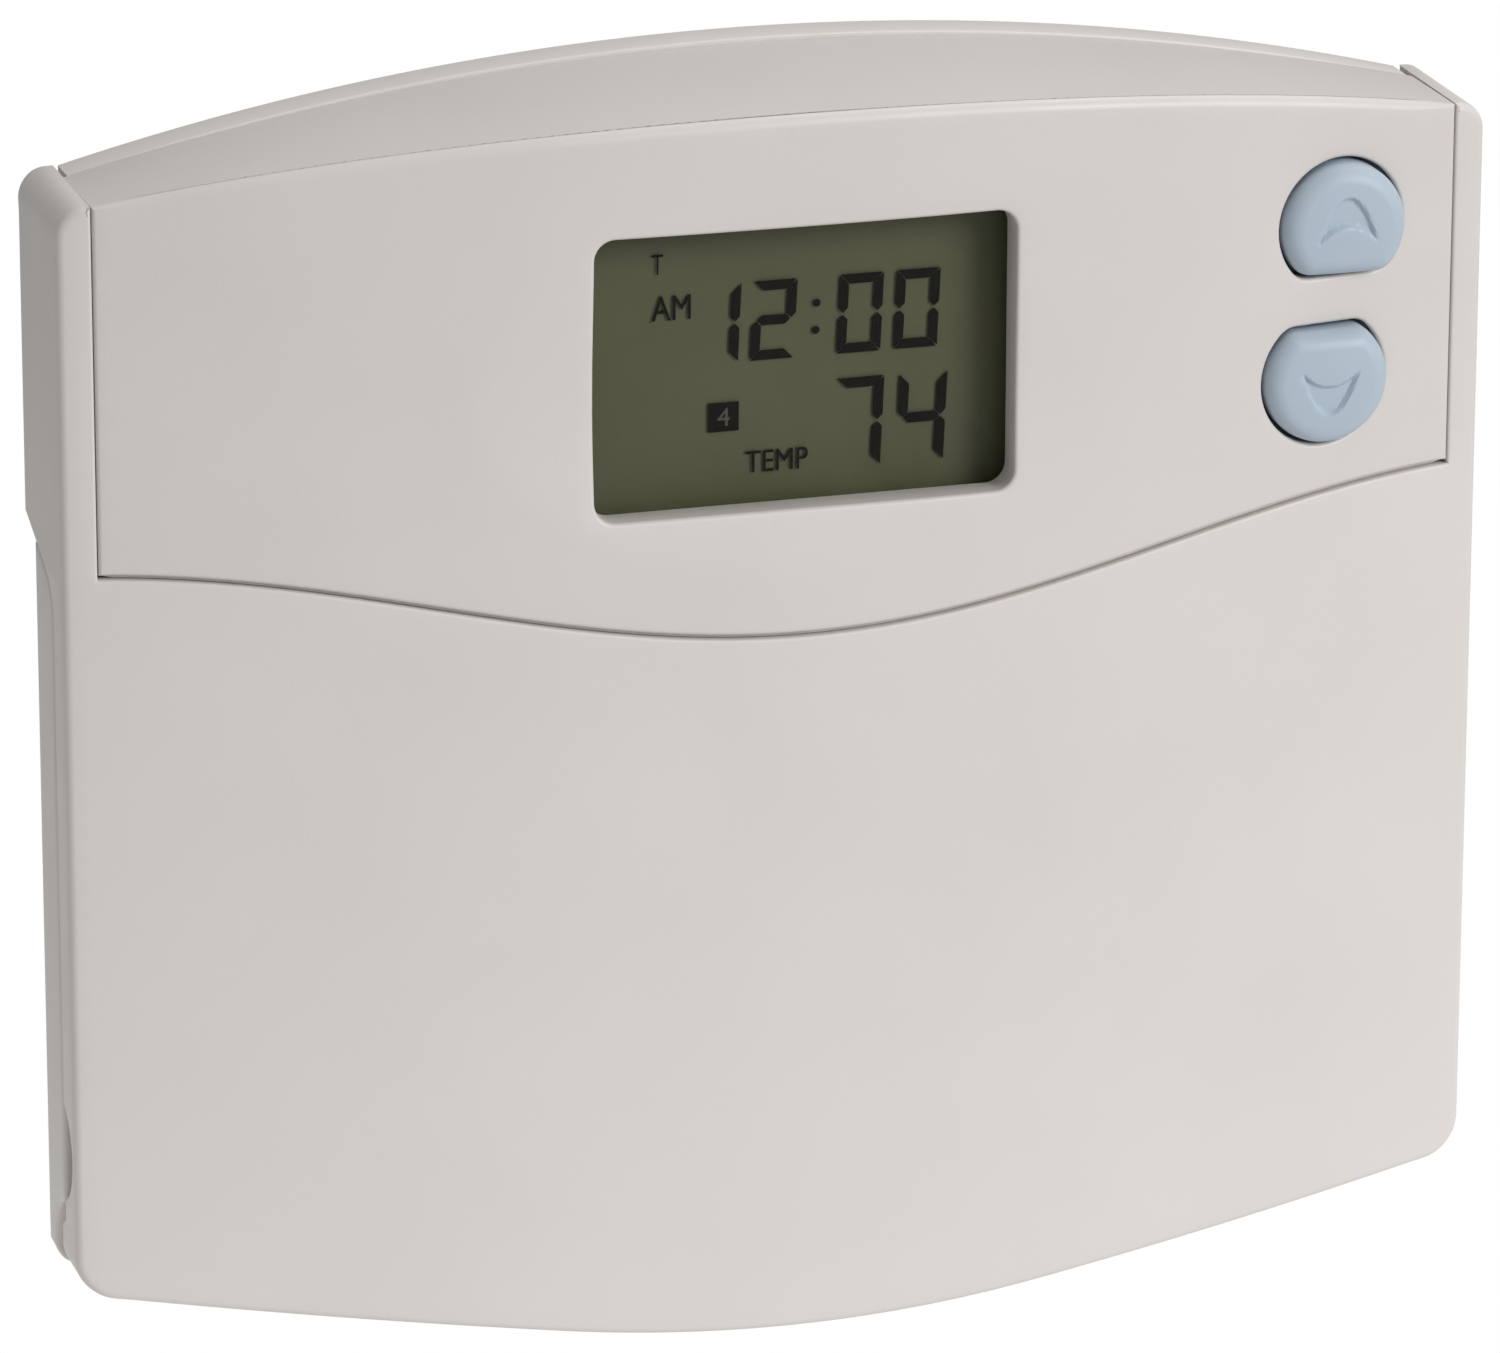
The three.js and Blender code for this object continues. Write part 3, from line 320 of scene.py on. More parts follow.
class Skin:
    """Points and faces of one closed mesh."""

    def __init__(self):
        self.points = []
        self.faces = []

    def ring(self, points):
        start = len(self.points)
        self.points += [tuple(p) for p in points]
        return list(range(start, len(self.points)))

    def bridge(self, first, second):
        """Faces between two rings, triangles where a ring is a single point repeated."""
        size = len(first)
        for i in range(size):
            j = (i + 1) % size
            corners = (first[i], first[j], second[j], second[i])
            self.faces.append(tuple(dict.fromkeys(corners)))

    def bridge_all(self, rings):
        for first, second in zip(rings, rings[1:]):
            self.bridge(first, second)

    def fill(self, rings, depth, spacing, axes=(0, 2)):
        """Triangles over the area between the rings, at the depth that a function gives."""
        u, v = axes
        flat = [np.array([(self.points[k][u], self.points[k][v]) for k in ring]) for ring in rings]
        low = flat[0].min(0)
        high = flat[0].max(0)
        grid = []
        for row, z in enumerate(np.arange(low[1] + spacing / 2, high[1], spacing * 0.87)):
            shift = spacing / 2 if row % 2 else 0
            grid += [(x, z) for x in np.arange(low[0] + shift, high[0], spacing)]
        edge = np.vstack(flat)
        if grid:
            grid = np.array(grid)
            grid = grid[inside(grid, flat)]
        if len(grid):
            gaps = np.array([np.min(np.hypot(*(edge - p).T)) for p in grid])
            grid = grid[gaps > spacing * 0.55]
        coords = [Vector(p) for p in (*edge, *grid)]
        lines = []
        start = 0
        for loop in flat:
            size = len(loop)
            lines += [(start + i, start + (i + 1) % size) for i in range(size)]
            start += size
        made, _, triangles, origin, _, _ = delaunay_2d_cdt(coords, lines, [], 0, 1e-7)
        known = [k for ring in rings for k in ring]
        place = {}
        for i, sources in enumerate(origin):
            first = min(sources) if sources else len(known)
            if first < len(known):
                place[i] = known[first]
            else:
                x, z = made[i]
                point = [0, 0, 0]
                point[u], point[v] = x, z
                point[3 - u - v] = depth(x, z)
                place[i] = len(self.points)
                self.points.append(tuple(point))
        corners = np.array([[made[k] for k in t] for t in triangles])
        keep = inside(corners.mean(1), flat)
        self.faces += [tuple(place[k] for k in t) for t, kept in zip(triangles, keep) if kept]

    def mesh(self, name):
        """The skin as a Blender mesh in metres, its coinciding points merged."""
        data = bpy.data.meshes.new(name)
        shape = bmesh.new()
        made = [shape.verts.new(Vector(p) * MM) for p in self.points]
        for face in self.faces:
            if len(set(face)) == len(face):
                shape.faces.new([made[k] for k in face])
        bmesh.ops.remove_doubles(shape, verts=shape.verts, dist=MERGE_DISTANCE)
        bmesh.ops.dissolve_degenerate(shape, dist=MERGE_DISTANCE, edges=shape.edges)
        loose = [v for v in shape.verts if not v.link_faces]
        bmesh.ops.delete(shape, geom=loose, context="VERTS")
        bmesh.ops.recalc_face_normals(shape, faces=shape.faces)
        shape.to_mesh(data)
        shape.free()
        data.shade_smooth()
        data.set_sharp_from_angle(angle=math.radians(SHARP_ANGLE))
        return data

    def place(self, name, *look, **more):
        place(name, self.mesh(name), *look, **more)


def columns(loop, face, out, skin, solid):
    """For each place of a loop, the points from the front face round its edge to the back."""
    turns = [math.pi / 2 * k / ROUNDING_STEPS for k in range(ROUNDING_STEPS + 1)]
    lipped = any(edge.lip for edge in loop)
    result = []
    for edge, away in zip(loop, outward(loop)):
        at_edge = face(edge.x, edge.z)
        least = at_edge - out * skin
        back = least if edge.reach is None else edge.reach

        def spot(x, z, y):
            return (x, y, z + edge.rise * (y - at_edge))

        column = []
        for turn in turns:
            x, z = edge.shifted(away, -edge.radius * (1 - math.sin(turn)))
            column.append(spot(x, z, face(x, z) - out * edge.radius * (1 - math.cos(turn))))
        if lipped:
            here = edge.shifted(away, edge.lip)
            column.append(spot(edge.x, edge.z, at_edge - out * LIP_DEPTH))
            column.append(spot(*here, at_edge - out * (LIP_DEPTH + LIP_RISE)))
        for turn in turns[::-1][::2] + [0]:
            x, z = edge.shifted(away, edge.lip - edge.back * (1 - math.sin(turn)))
            column.append(spot(x, z, back + out * edge.back * (1 - math.cos(turn))))
        if not solid:
            deep = edge.inner or edge.shifted(away, -edge.wall)
            inner_skin = face(*deep) - out * skin
            if (back - inner_skin) * out > 0:
                back = inner_skin
            column.append(spot(*deep, back))
            column.append(spot(*deep, inner_skin))
        result.append(column)
    return result


def shell(skin, loops, face, out=ROOM, thickness=WALL, spacing=1.6, solid=False, pockets=()):
    """Adds a moulded shell: its front follows face(x, z), with walls behind its edges.

    The first loop is the outline and the others are holes. A solid shell is closed flat at the
    back. A pocket is (loop, depth): a hole with a floor.
    """
    fronts = []
    backs = []
    for number, loop in enumerate(loops):
        ordered = loop if number == 0 else loop[::-1]
        made = columns(ordered, face, out, thickness, solid)
        rings = [skin.ring([column[k] for column in made]) for k in range(len(made[0]))]
        skin.bridge_all(rings)
        fronts.append(rings[0])
        backs.append(rings[-1])
    for loop, depth in pockets:
        ordered = loop[::-1]
        ways = outward(ordered)
        # how far along the rounding, in radii, and the share of the depth reached there
        levels = [(-1, 0), (-0.3, 0.12), (0, 0.5), (0.3, 0.88), (1, 1)]
        rings = []
        for along, drop in levels:
            spots = [edge.shifted(away, edge.radius * along) for edge, away in zip(ordered, ways)]
            rings.append(skin.ring([(x, face(x, z) - out * depth * drop, z) for x, z in spots]))
        skin.bridge_all(rings)
        fronts.append(rings[0])
        skin.fill([rings[-1]], lambda x, z, d=depth: face(x, z) - out * d, spacing)
    skin.fill(fronts, face, spacing)
    if solid:
        level = loops[0][0].reach
        skin.fill(backs, lambda x, z: level, spacing * 2)
    else:
        skin.fill(backs, lambda x, z: face(x, z) - out * thickness, spacing * 1.6)


def add_object(name, data):
    made = bpy.data.objects.new(name, data)
    bpy.context.scene.collection.objects.link(made)
    return made


def place(name, data, finish="casing", replaced=(), body="thermostat", at=(0, 0, 0)):
    """Puts an object for a mesh at a point, riding on a body, with its material."""
    made = add_object(name, data)
    made.location = [c * MM for c in at]
    if not data.materials:
        data.materials.append(FINISH[finish])
    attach(made, body)
    if replaced:
        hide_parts(*replaced)


def moulding(name, loops, face, finish="casing", replaced=(), body="thermostat", **shape):
    """Places a piece that is a single shell."""
    skin = Skin()
    shell(skin, loops, face, **shape)
    skin.place(name, finish, replaced, body)


# ---- materials


def linear(red, green, blue):
    """A colour given as it shows on a screen, 0 to 255."""
    channels = [c / 255 for c in (red, green, blue)]
    return tuple(c / 12.92 if c <= 0.04045 else ((c + 0.055) / 1.055) ** 2.4 for c in channels)


def feed(tree, socket, value):
    """Links the socket to another one, or gives it a plain value."""
    if isinstance(value, bpy.types.NodeSocket):
        tree.links.new(value, socket)
    else:
        socket.default_value = value


def add_node(tree, kind, inputs=None, **settings):
    """A new node, with its settings, and its inputs linked or given plain values."""
    made = tree.nodes.new(kind)
    for key, value in settings.items():
        setattr(made, key, value)
    for key, value in (inputs or {}).items():
        feed(tree, made.inputs[key], value)
    return made


class Finish:
    """A Principled material with a few nodes round it."""

    def __init__(self, name):
        self.name = name
        self.material = bpy.data.materials.new(name)
        self.material.use_nodes = True
        self.tree = self.material.node_tree
        self.shader = self.tree.nodes["Principled BSDF"]
        self.where = self.node("ShaderNodeTexCoord").outputs["Object"]

    def node(self, kind, inputs=None):
        return add_node(self.tree, kind, inputs)

    def set(self, **values):
        for key, value in values.items():
            feed(self.tree, self.shader.inputs[key.replace("_", " ")], value)
        return self

    def noise(self, size, detail=2.0, roughness=0.5, stretch=(1, 1, 1)):
        """Noise whose features are about size mm across."""
        mapping = self.node("ShaderNodeMapping", {"Vector": self.where, "Scale": stretch})
        inputs = {"Vector": mapping.outputs["Vector"], "Scale": 1 / (size * MM)}
        inputs.update(Detail=detail, Roughness=roughness)
        return self.node("ShaderNodeTexNoise", inputs).outputs["Fac"]

    def ramp(self, factor, *stops):
        made = self.node("ShaderNodeValToRGB", {"Fac": factor})
        elements = made.color_ramp.elements
        while len(elements) < len(stops):
            elements.new(0.5)
        for element, (position, colour) in zip(elements, stops):
            element.position = position
            element.color = (*colour, 1)
        return made.outputs["Color"]

    def between(self, factor, low, high, start=0.25, end=0.75):
        """The factor as a number that runs from low to high."""
        inputs = {"Value": factor, "From Min": start, "From Max": end}
        inputs.update({"To Min": low, "To Max": high})
        return self.node("ShaderNodeMapRange", inputs).outputs["Result"]

    def bump(self, height, depth, strength=1.0, under=None):
        inputs = {"Height": height, "Distance": depth * MM, "Strength": strength}
        if under is not None:
            inputs["Normal"] = under
        return self.node("ShaderNodeBump", inputs).outputs["Normal"]


def shade(colour, by):
    return tuple(min(1, c * by) for c in colour)


def moulded_plastic(name, colour, low=0.4, high=0.5, grain=0.32, depth=0.012):
    """Plastic with a fine moulded grain, a slight cloudiness and uneven gloss."""
    spread = 0.02
    made = Finish(name)
    clouds = made.noise(26, 3)
    base = made.ramp(clouds, (0.3, shade(colour, 1 - spread)), (0.7, shade(colour, 1 + spread)))
    ripple = made.bump(made.noise(5, 1), depth * 1.5, 0.4)
    normal = made.bump(made.noise(grain, 2), depth, 1.0, ripple)
    made.set(Base_Color=base, Normal=normal)
    made.set(Roughness=made.between(made.noise(9, 2), low, high))
    return made


def brushed_metal(name, colour, roughness=0.3):
    made = Finish(name)
    lines = made.noise(0.5, 3, 0.6, (1, 1, 14))
    base = made.ramp(lines, (0.3, shade(colour, 0.86)), (0.7, shade(colour, 1.05)))
    made.set(Base_Color=base, Metallic=1.0, Normal=made.bump(lines, 0.008))
    made.set(Roughness=made.between(made.noise(1.5), roughness * 0.8, roughness * 1.3))
    return made


def circuit_green():
    """Solder mask over copper tracks, with silk-smooth gloss."""
    made = Finish("board")
    tracks = made.node(
        "ShaderNodeTexBrick",
        {"Vector": made.where, "Scale": 220.0, "Mortar Size": 0.16, "Brick Width": 2.4},
    ).outputs["Fac"]
    base = made.ramp(tracks, (0.0, linear(32, 92, 48)), (1.0, linear(58, 124, 66)))
    made.set(Base_Color=base, Normal=made.bump(tracks, 0.03), Coat_Weight=0.3)
    made.set(Roughness=made.between(made.noise(4), 0.25, 0.38))
    return made


def reflector():
    """Back of the liquid-crystal cell: an olive film over a fine silver grain."""
    made = Finish("lcd")
    grain = made.noise(0.22, 2)
    clouds = made.noise(16, 2)
    tint = made.ramp(clouds, (0.3, linear(78, 80, 54)), (0.7, linear(83, 85, 58)))
    made.set(Base_Color=tint, Normal=made.bump(grain, 0.01))
    made.set(Roughness=made.between(made.noise(3), 0.42, 0.5))
    return made


def clear_lens():
    made = Finish("lens")
    haze = made.noise(30, 2)
    base = made.ramp(haze, (0.3, (0.05, 0.055, 0.05)), (0.7, (0.06, 0.06, 0.055)))
    made.set(Base_Color=base, Alpha=0.05)
    made.set(Roughness=made.between(made.noise(18), 0.06, 0.1))
    return made


def jacket():
    """Printed sleeve of a dry cell: a dark length and a pale end, with a thin line between."""
    made = Finish("cell_jacket")
    along = made.node("ShaderNodeSeparateXYZ", {"Vector": made.where}).outputs["X"]
    place_on = made.between(along, 0.0, 1.0, -CELL_LENGTH / 2 * MM, CELL_LENGTH / 2 * MM)
    dark = linear(52, 66, 84)
    pale = linear(188, 192, 196)
    base = made.ramp(place_on, (0.0, dark), (0.66, dark), (0.662, pale), (1.0, pale))
    made.set(Base_Color=base, Normal=made.bump(made.noise(2), 0.01), Coat_Weight=0.4)
    made.set(Roughness=made.between(made.noise(3), 0.28, 0.36))
    return made


def button_blue():
    made = moulded_plastic("button_blue", linear(171, 186, 200), 0.42, 0.52, 0.3, 0.006)
    made.set(Subsurface_Weight=0.12, Subsurface_Radius=(0.6, 0.8, 1.0), Subsurface_Scale=0.001)
    return made


def bar_ink():
    """Dark ink of the display's lit bars, nearly without gloss."""
    made = moulded_plastic("ink", linear(14, 12, 10), 0.35, 0.42, 0.2, 0.002)
    return made.set(Specular_IOR_Level=0.1)


CASING = linear(208, 203.8, 201.5)
# Colour, then lowest and highest roughness, grain size and grain depth where they aren't usual.
PLASTICS = {
    "casing": (CASING,),
    "panel": (shade(CASING, 0.98),),
    "key_grey": (linear(176, 180, 184),),
    "slider_grey": (linear(120, 124, 129),),
    "ink_light": (linear(72, 70, 60), 0.4, 0.5, 0.2, 0.002),
    "black_plastic": (linear(38, 38, 40),),
    "relay_blue": (linear(40, 76, 140), 0.3, 0.4),
    "terminal_green": (linear(62, 112, 80),),
    "rubber": (linear(86, 88, 92), 0.7, 0.8),
}
# Colour, and roughness where it isn't usual.
METALS = {
    "steel": (linear(190, 192, 194),),
    "spring_steel": (linear(206, 207, 208), 0.22),
    "brass": (linear(205, 178, 110),),
}
finishes = [button_blue(), bar_ink(), reflector(), clear_lens(), circuit_green(), jacket()]
finishes += [moulded_plastic(name, *look) for name, look in PLASTICS.items()]
finishes += [brushed_metal(name, *look) for name, look in METALS.items()]
FINISH = {made.name: made.material for made in finishes}

# ---- case and door


def corner_of(half_width, low_edge, corner=CORNER_RADIUS, **same):
    """The rounded lower right corner, from the bottom edge to the side."""
    inner_x = half_width - corner
    points = arc(inner_x, low_edge(inner_x) + corner, corner, -82, 0, 0.5)
    return loop_at(points, **same)


def body_outline(shoulder_z, top, low, **same):
    """Outline of a piece behind the front case, with shoulders under the tops of the arms."""
    half_width = BODY_HALF_WIDTH - 0.1
    shoulder_x = ARM_INNER_X - ARM_CLEARANCE
    points = [(x, low(x)) for x in steps(0, half_width - CORNER_RADIUS, 1.4)[:-1]]
    right = loop_at(points, **same) + corner_of(half_width, low, **same)
    points = [(half_width, z) for z in steps(right[-1].z, shoulder_z, 1.6)[1:]]
    points += [(shoulder_x, z) for z in steps(shoulder_z, top(shoulder_x), 1.0)[:-1]]
    points += [(x, top(x)) for x in steps(shoulder_x, 0, 1.4)]
    return both_halves(right + loop_at(points, **same))


def side_bend_y(z):
    """Y of the bend that leads from the shallow side wall back to the arm."""
    low_z, bend_z, high_y, high_z = SIDE_BEND.values()
    if z > high_z:
        return high_y + (z - high_z) / (ARM_LOW_Z - high_z) * (ARM_BACK_Y - high_y)
    curve = low_z - 2 * bend_z + high_z
    half = bend_z - low_z
    t = (math.sqrt(half * half + curve * (z - low_z)) - half) / curve
    return SIDE_SHALLOW_Y + t * t * (high_y - SIDE_SHALLOW_Y)


def door_reach(z):
    """Y of the back edge of the door's side wall, at a height."""
    shallow = SIDE_SHALLOW_Y
    foot, foot_z, foot_slope = -14.2, HINGE_Z + 3, 0.8
    notch_z, notch_y, notch_radius = -40.6, -13.3, 5.5
    reach = math.sqrt(notch_radius**2 - (shallow - notch_y) ** 2)
    rounding = z - (ARM_TOP_Z - ARM_BACK_RADIUS)
    if rounding > 0:
        return ARM_BACK_Y - sag(min(rounding, ARM_BACK_RADIUS - 0.01), ARM_BACK_RADIUS)
    if z >= ARM_LOW_Z:
        return ARM_BACK_Y
    if z > SIDE_BEND["low_z"]:
        return side_bend_y(z)
    if z > notch_z + reach:
        return shallow
    if z > notch_z - reach:
        return notch_y - math.sqrt(notch_radius**2 - (z - notch_z) ** 2)
    if z > foot_z:
        return shallow
    if z > foot_z - foot_slope:
        return shallow + (foot - shallow) * (foot_z - z) / foot_slope
    return foot


def door():
    soft = 0.8
    crisp = 0.35
    low_x = HALF_WIDTH - DOOR_LOW_CORNER
    right = loop_at([(x, bottom_z(x)) for x in steps(0, low_x, 1.3)[:-1]], radius=soft)
    corner = corner_of(HALF_WIDTH, bottom_z, DOOR_LOW_CORNER, radius=soft, wall=DOOR_WALL)
    foot_z = corner[-1].z - 1.5
    for edge in corner:
        if edge.z > foot_z:
            edge.reach = door_reach(edge.z)
        else:
            edge.wall = 0.2
    right += corner
    high_z = ARM_TOP_Z - CORNER_RADIUS
    # closest together where the wall's back edge bends: at the foot, the notch and the arm's root
    levels = steps(corner[-1].z, -49, 0.6)[1:] + steps(-48.7, -34.6, 0.3)
    levels += steps(-34.2, 11.6, 1.4) + steps(12, 20.4, 0.4) + steps(20.8, high_z, 1.4)[:-1]
    right += [Edge(HALF_WIDTH, z, soft, door_reach(z), DOOR_WALL, back=0.35) for z in levels]
    high_x = HALF_WIDTH - CORNER_RADIUS
    for x, z in arc(high_x, high_z, CORNER_RADIUS, 0, 90, 0.3):
        right.append(Edge(x, z, soft, door_reach(z), DOOR_WALL))
    end = (ARM_INNER_X, ARM_TOP_Z - DOOR_WALL)
    cap_y = door_reach(ARM_TOP_Z)
    right.append(Edge(ARM_INNER_X, ARM_TOP_Z, crisp, cap_y, DOOR_WALL, inner=end))
    low_end = seam_z(ARM_INNER_X) - SEAM_GAP
    right += loop_at([(ARM_INNER_X, z) for z in steps(end[1], low_end, 1.3)], radius=crisp)
    seam = [(x, seam_z(x) - SEAM_GAP) for x in steps(ARM_INNER_X, 0, 1.2)[1:]]
    right += loop_at(seam, radius=0.3)
    look = {"replaced": ["door"], "body": "door"}
    moulding("door_shell", [both_halves(right)], front_y, **look, thickness=DOOR_WALL)


def hinge_stud(side, word):
    """Stud on the inside of the door's side wall, with a rounded end."""
    name = f"hinge_stud_{word}"
    root = HALF_WIDTH - DOOR_WALL
    profile = [(root, 0), (root, 1.7), (root - 0.4, 1.7), (root - 0.6, HINGE_RADIUS)]
    profile += [(66.6, HINGE_RADIUS), (66.25, 0.95), (66.1, 0.5), (66.1, 0)]
    data = turned(name, profile, 32)
    hinge = Matrix.Translation((0, HINGE_Y * MM, HINGE_Z * MM))
    data.transform(hinge @ Matrix.Diagonal((side, 1, 1, 1)))
    if side < 0:
        data.flip_normals()
    place(name, data, body="door")


def turned(name, profile, sides):
    """A mesh of revolution about X, from (X, radius) pairs that start and end on the axis."""
    skin = Skin()
    turns = [2 * math.pi * i / sides for i in range(sides)]
    rings = []
    for along, radius in profile:
        if radius == 0:
            rings.append(skin.ring([(along, 0, 0)]) * sides)
        else:
            circle = [(along, radius * math.cos(t), radius * math.sin(t)) for t in turns]
            rings.append(skin.ring(circle))
    skin.bridge_all(rings)
    return skin.mesh(name)


def button_outline(name, margin=0.0):
    """A circle with one side cut flat, its two corners rounded."""
    spacing = 0.5
    x, z, flat, way = BUTTONS[name]
    radius = BUTTON_RADIUS + margin
    flat += margin
    corner = BUTTON_CORNER + margin / 2
    corner_x = math.sqrt((radius - corner) ** 2 - (flat - corner) ** 2)
    dip = math.degrees(math.atan2(flat - corner, corner_x))
    points = arc(0, 0, radius, -dip, 180 + dip, spacing)
    points += arc(-corner_x, corner - flat, corner, 180 + dip, 270, spacing / 2)
    points += arc(corner_x, corner - flat, corner, -90, -dip, spacing / 2)
    return dense(thinned([(x + way * u, z + way * v) for u, v in points]), spacing)


def display_panel():
    crisp = 0.35
    soft = 1.0
    right = [(x, seam_z(x)) for x in steps(0, FACE_HALF_WIDTH, 1.2)]
    side = steps(right[-1][1], top_edge_z(FACE_HALF_WIDTH), 1.4)[1:-1]
    right += [(FACE_HALF_WIDTH, z) for z in side]
    edges = loop_at(right, radius=crisp, reach=CASE_BACK, wall=WALL, lip=SEAM_SIDE_LIP)
    for edge in edges:
        if edge.x < FACE_HALF_WIDTH - 1:
            edge.radius = SEAM_ROUNDING
            edge.lip = SEAM_LIP
    for x in steps(FACE_HALF_WIDTH, 0, 1.3):
        edges.append(Edge(x, top_edge_z(x), soft, CASE_BACK, WALL, top_rise(x)))
    for number, radius in enumerate([crisp, 0.5, 0.7, 0.85]):
        edges[len(right) + number].radius = radius
    edges[len(right)].lip = edges[len(right) - 1].lip = 0.0
    height = WINDOW_HIGH - WINDOW_LOW
    window = rounded_box(0, WINDOW_Z, 2 * WINDOW_HALF_WIDTH, height, WINDOW_CORNER, 0.9)
    holes = [loop_at(window, radius=0.4, reach=PAD_BACK, wall=1.6)]
    for name in BUTTONS:
        holes.append(loop_at(button_outline(name, BUTTON_GAP), radius=0.4))
    loops = [both_halves(edges), *holes]
    moulding("display_panel", loops, panel_y, "panel", ["front_case"], spacing=1.15)


def control_panel():
    """Flat panel behind the door, with the case's lower sides."""
    embed = 1.0

    def low(x):
        return bottom_z(x) + CASE_INSET

    wall = {"reach": CASE_BACK, "wall": WALL}
    inner_x = BODY_HALF_WIDTH - CORNER_RADIUS
    right = loop_at([(x, low(x)) for x in steps(0, inner_x, 1.4)[:-1]], radius=1.2, **wall)
    right += corner_of(BODY_HALF_WIDTH, low, radius=1.2, **wall)
    side = steps(right[-1].z, BODY_SHOULDER_Z, 1.8)[1:]
    right += loop_at([(BODY_HALF_WIDTH, z) for z in side], radius=0.5, **wall)
    hidden_x = FACE_HALF_WIDTH - embed
    right += [Edge(hidden_x, BODY_SHOULDER_Z, 0.3, CASE_BACK, 0.3)]
    levels = steps(BODY_SHOULDER_Z, seam_z(hidden_x) + embed, 2.0)[1:]
    hidden = [(hidden_x, z) for z in levels]
    hidden += [(x, seam_z(x) + embed) for x in steps(hidden_x, 0, 1.6)[1:]]
    right += loop_at(hidden, radius=0.3)
    size = (KEY_WIDTH + 2 * KEY_GAP, KEY_HEIGHT + 2 * KEY_GAP, KEY_CORNER + KEY_GAP)
    holes = [rounded_box(x, z, *size) for x, z in KEYS.values()]
    for x, _, travel in SLIDERS.values():
        holes.append(rounded_box(x, SLIDER_Z, 5.2 + 2 * travel, 3.8, 0.6, 0.8))
    loops = [loop_at(hole, radius=0.3) for hole in holes]
    bay = rounded_box(0, BAY_Z, 2 * BAY_HALF_WIDTH + WALL, BAY_HIGH - BAY_LOW + WALL, 1.2)
    loops.append(loop_at(bay, radius=0.1))
    moulding("control_panel", [both_halves(right), *loops], lambda x, z: PANEL_Y, spacing=2.2)


def flank(side, word):
    """Lower side of the case, level with the door's side wall and just behind its back edge."""
    gap = 0.3
    corner = 2
    root_x = BODY_HALF_WIDTH - 0.5
    corner_x = HALF_WIDTH - corner
    corner_z = bottom_z(corner_x) + CASE_INSET / 2 + corner
    low_z = corner_z - 0.88 * corner

    def outside(_, z):
        below = min(max(corner_z - z, 0), corner)
        return -corner_x - math.sqrt(corner**2 - below**2)

    def turn_at(depth, z):
        return math.degrees(math.atan2(z - HINGE_Z, depth + HINGE_Y)) % 360

    front = -SIDE_SHALLOW_Y - gap
    room_depth = -HINGE_Y - math.sqrt(FOOT_ROOM_RADIUS**2 - (low_z - HINGE_Z) ** 2)
    room_z = HINGE_Z + math.sqrt(FOOT_ROOM_RADIUS**2 - (front + HINGE_Y) ** 2)
    start, end = turn_at(room_depth, low_z), turn_at(front, room_z)
    outline = [(-CASE_BACK, low_z), (room_depth, low_z)]
    outline += arc(-HINGE_Y, HINGE_Z, FOOT_ROOM_RADIUS, start, end, 0.4)
    levels = steps(SIDE_BEND["low_z"], ARM_LOW_Z, 0.4)
    bend = [(-side_bend_y(z), z - gap) for z in levels]
    outline += [(front, room_z)] + [point for point in bend if -CASE_BACK < point[0] < front]
    outline = thinned(outline)
    outline.append((-CASE_BACK, outline[-1][1] + 0.3))
    skin = Skin()
    edges = loop_at(dense(outline, 1.5), radius=0.55, reach=-root_x)
    for edge in edges:
        if edge.x < 0.1 - CASE_BACK:
            edge.radius = 0.1
    shell(skin, [edges], outside, spacing=2.2, solid=True)
    skin.points = [(-side * depth, -along, z) for along, depth, z in skin.points]
    skin.place(f"case_flank_{word}")


def battery_bay():
    """Tray for the two cells, with a rim that stands proud of the panel on three sides."""
    height = BAY_HIGH - BAY_LOW
    slope = 1.5  # height over which the rim drops to the panel at its lower end
    outer = rounded_box(0, BAY_Z, 2 * (BAY_HALF_WIDTH + WALL), height + 2 * WALL, 1.6)

    def rim_y(z):
        drop = smooth((BAY_RIM_LOW + slope - z) / slope)
        return BAY_RIM_Y + (PANEL_Y - 0.1 - BAY_RIM_Y) * drop

    skin = Skin()
    edges = loop_at(outer)
    ways = outward(edges)

    def ring_at(inset, depth_at):
        spots = [(edge, *edge.shifted(away, -inset)) for edge, away in zip(edges, ways)]
        return skin.ring([(x, depth_at(edge.z), z) for edge, x, z in spots])

    rings = [ring_at(0, lambda z: BAY_FLOOR_BACK)]
    # the rim's rounding: how far in from the outside, and how far behind the rim's front
    half_round = [(0, 0.5), (0.1, 0.25), (0.35, 0.06), (0.65, 0.0)]
    for inset, drop in half_round + [(WALL - inset, drop) for inset, drop in half_round[::-1]]:
        rings.append(ring_at(inset, lambda z, d=drop: rim_y(z) + d))
    rings.append(ring_at(WALL, lambda z: BAY_FLOOR_FRONT))
    skin.bridge_all(rings)
    skin.fill([rings[0]], lambda x, z: BAY_FLOOR_BACK, 3)
    skin.fill([rings[-1]], lambda x, z: BAY_FLOOR_FRONT, 3)
    skin.place("battery_bay")


def cell_saddle(x, word):
    """Rib across the bay's floor with two hollows that the cells lie in."""
    half_width = 0.7
    front = -9.6
    hollow = CELL_RADIUS + 0.25
    low, high = BAY_LOW + 0.2, BAY_HIGH - 0.2
    outline = []
    for z in steps(low, high, 0.5):
        depth = front
        for cell_z, _ in CELLS.values():
            away = abs(z - cell_z)
            if away < hollow:
                depth = max(depth, CELL_Y + math.sqrt(hollow**2 - away**2))
        outline.append((depth, z))
    floor = BAY_FLOOR_FRONT + 0.4
    outline += [(floor, high), (floor, low)]
    skin = Skin()
    left = skin.ring([(x - half_width, y, z) for y, z in outline])
    right = skin.ring([(x + half_width, y, z) for y, z in outline])
    skin.bridge(left, right)
    skin.faces += [tuple(left), tuple(reversed(right))]
    skin.place(f"cell_saddle_{word}")


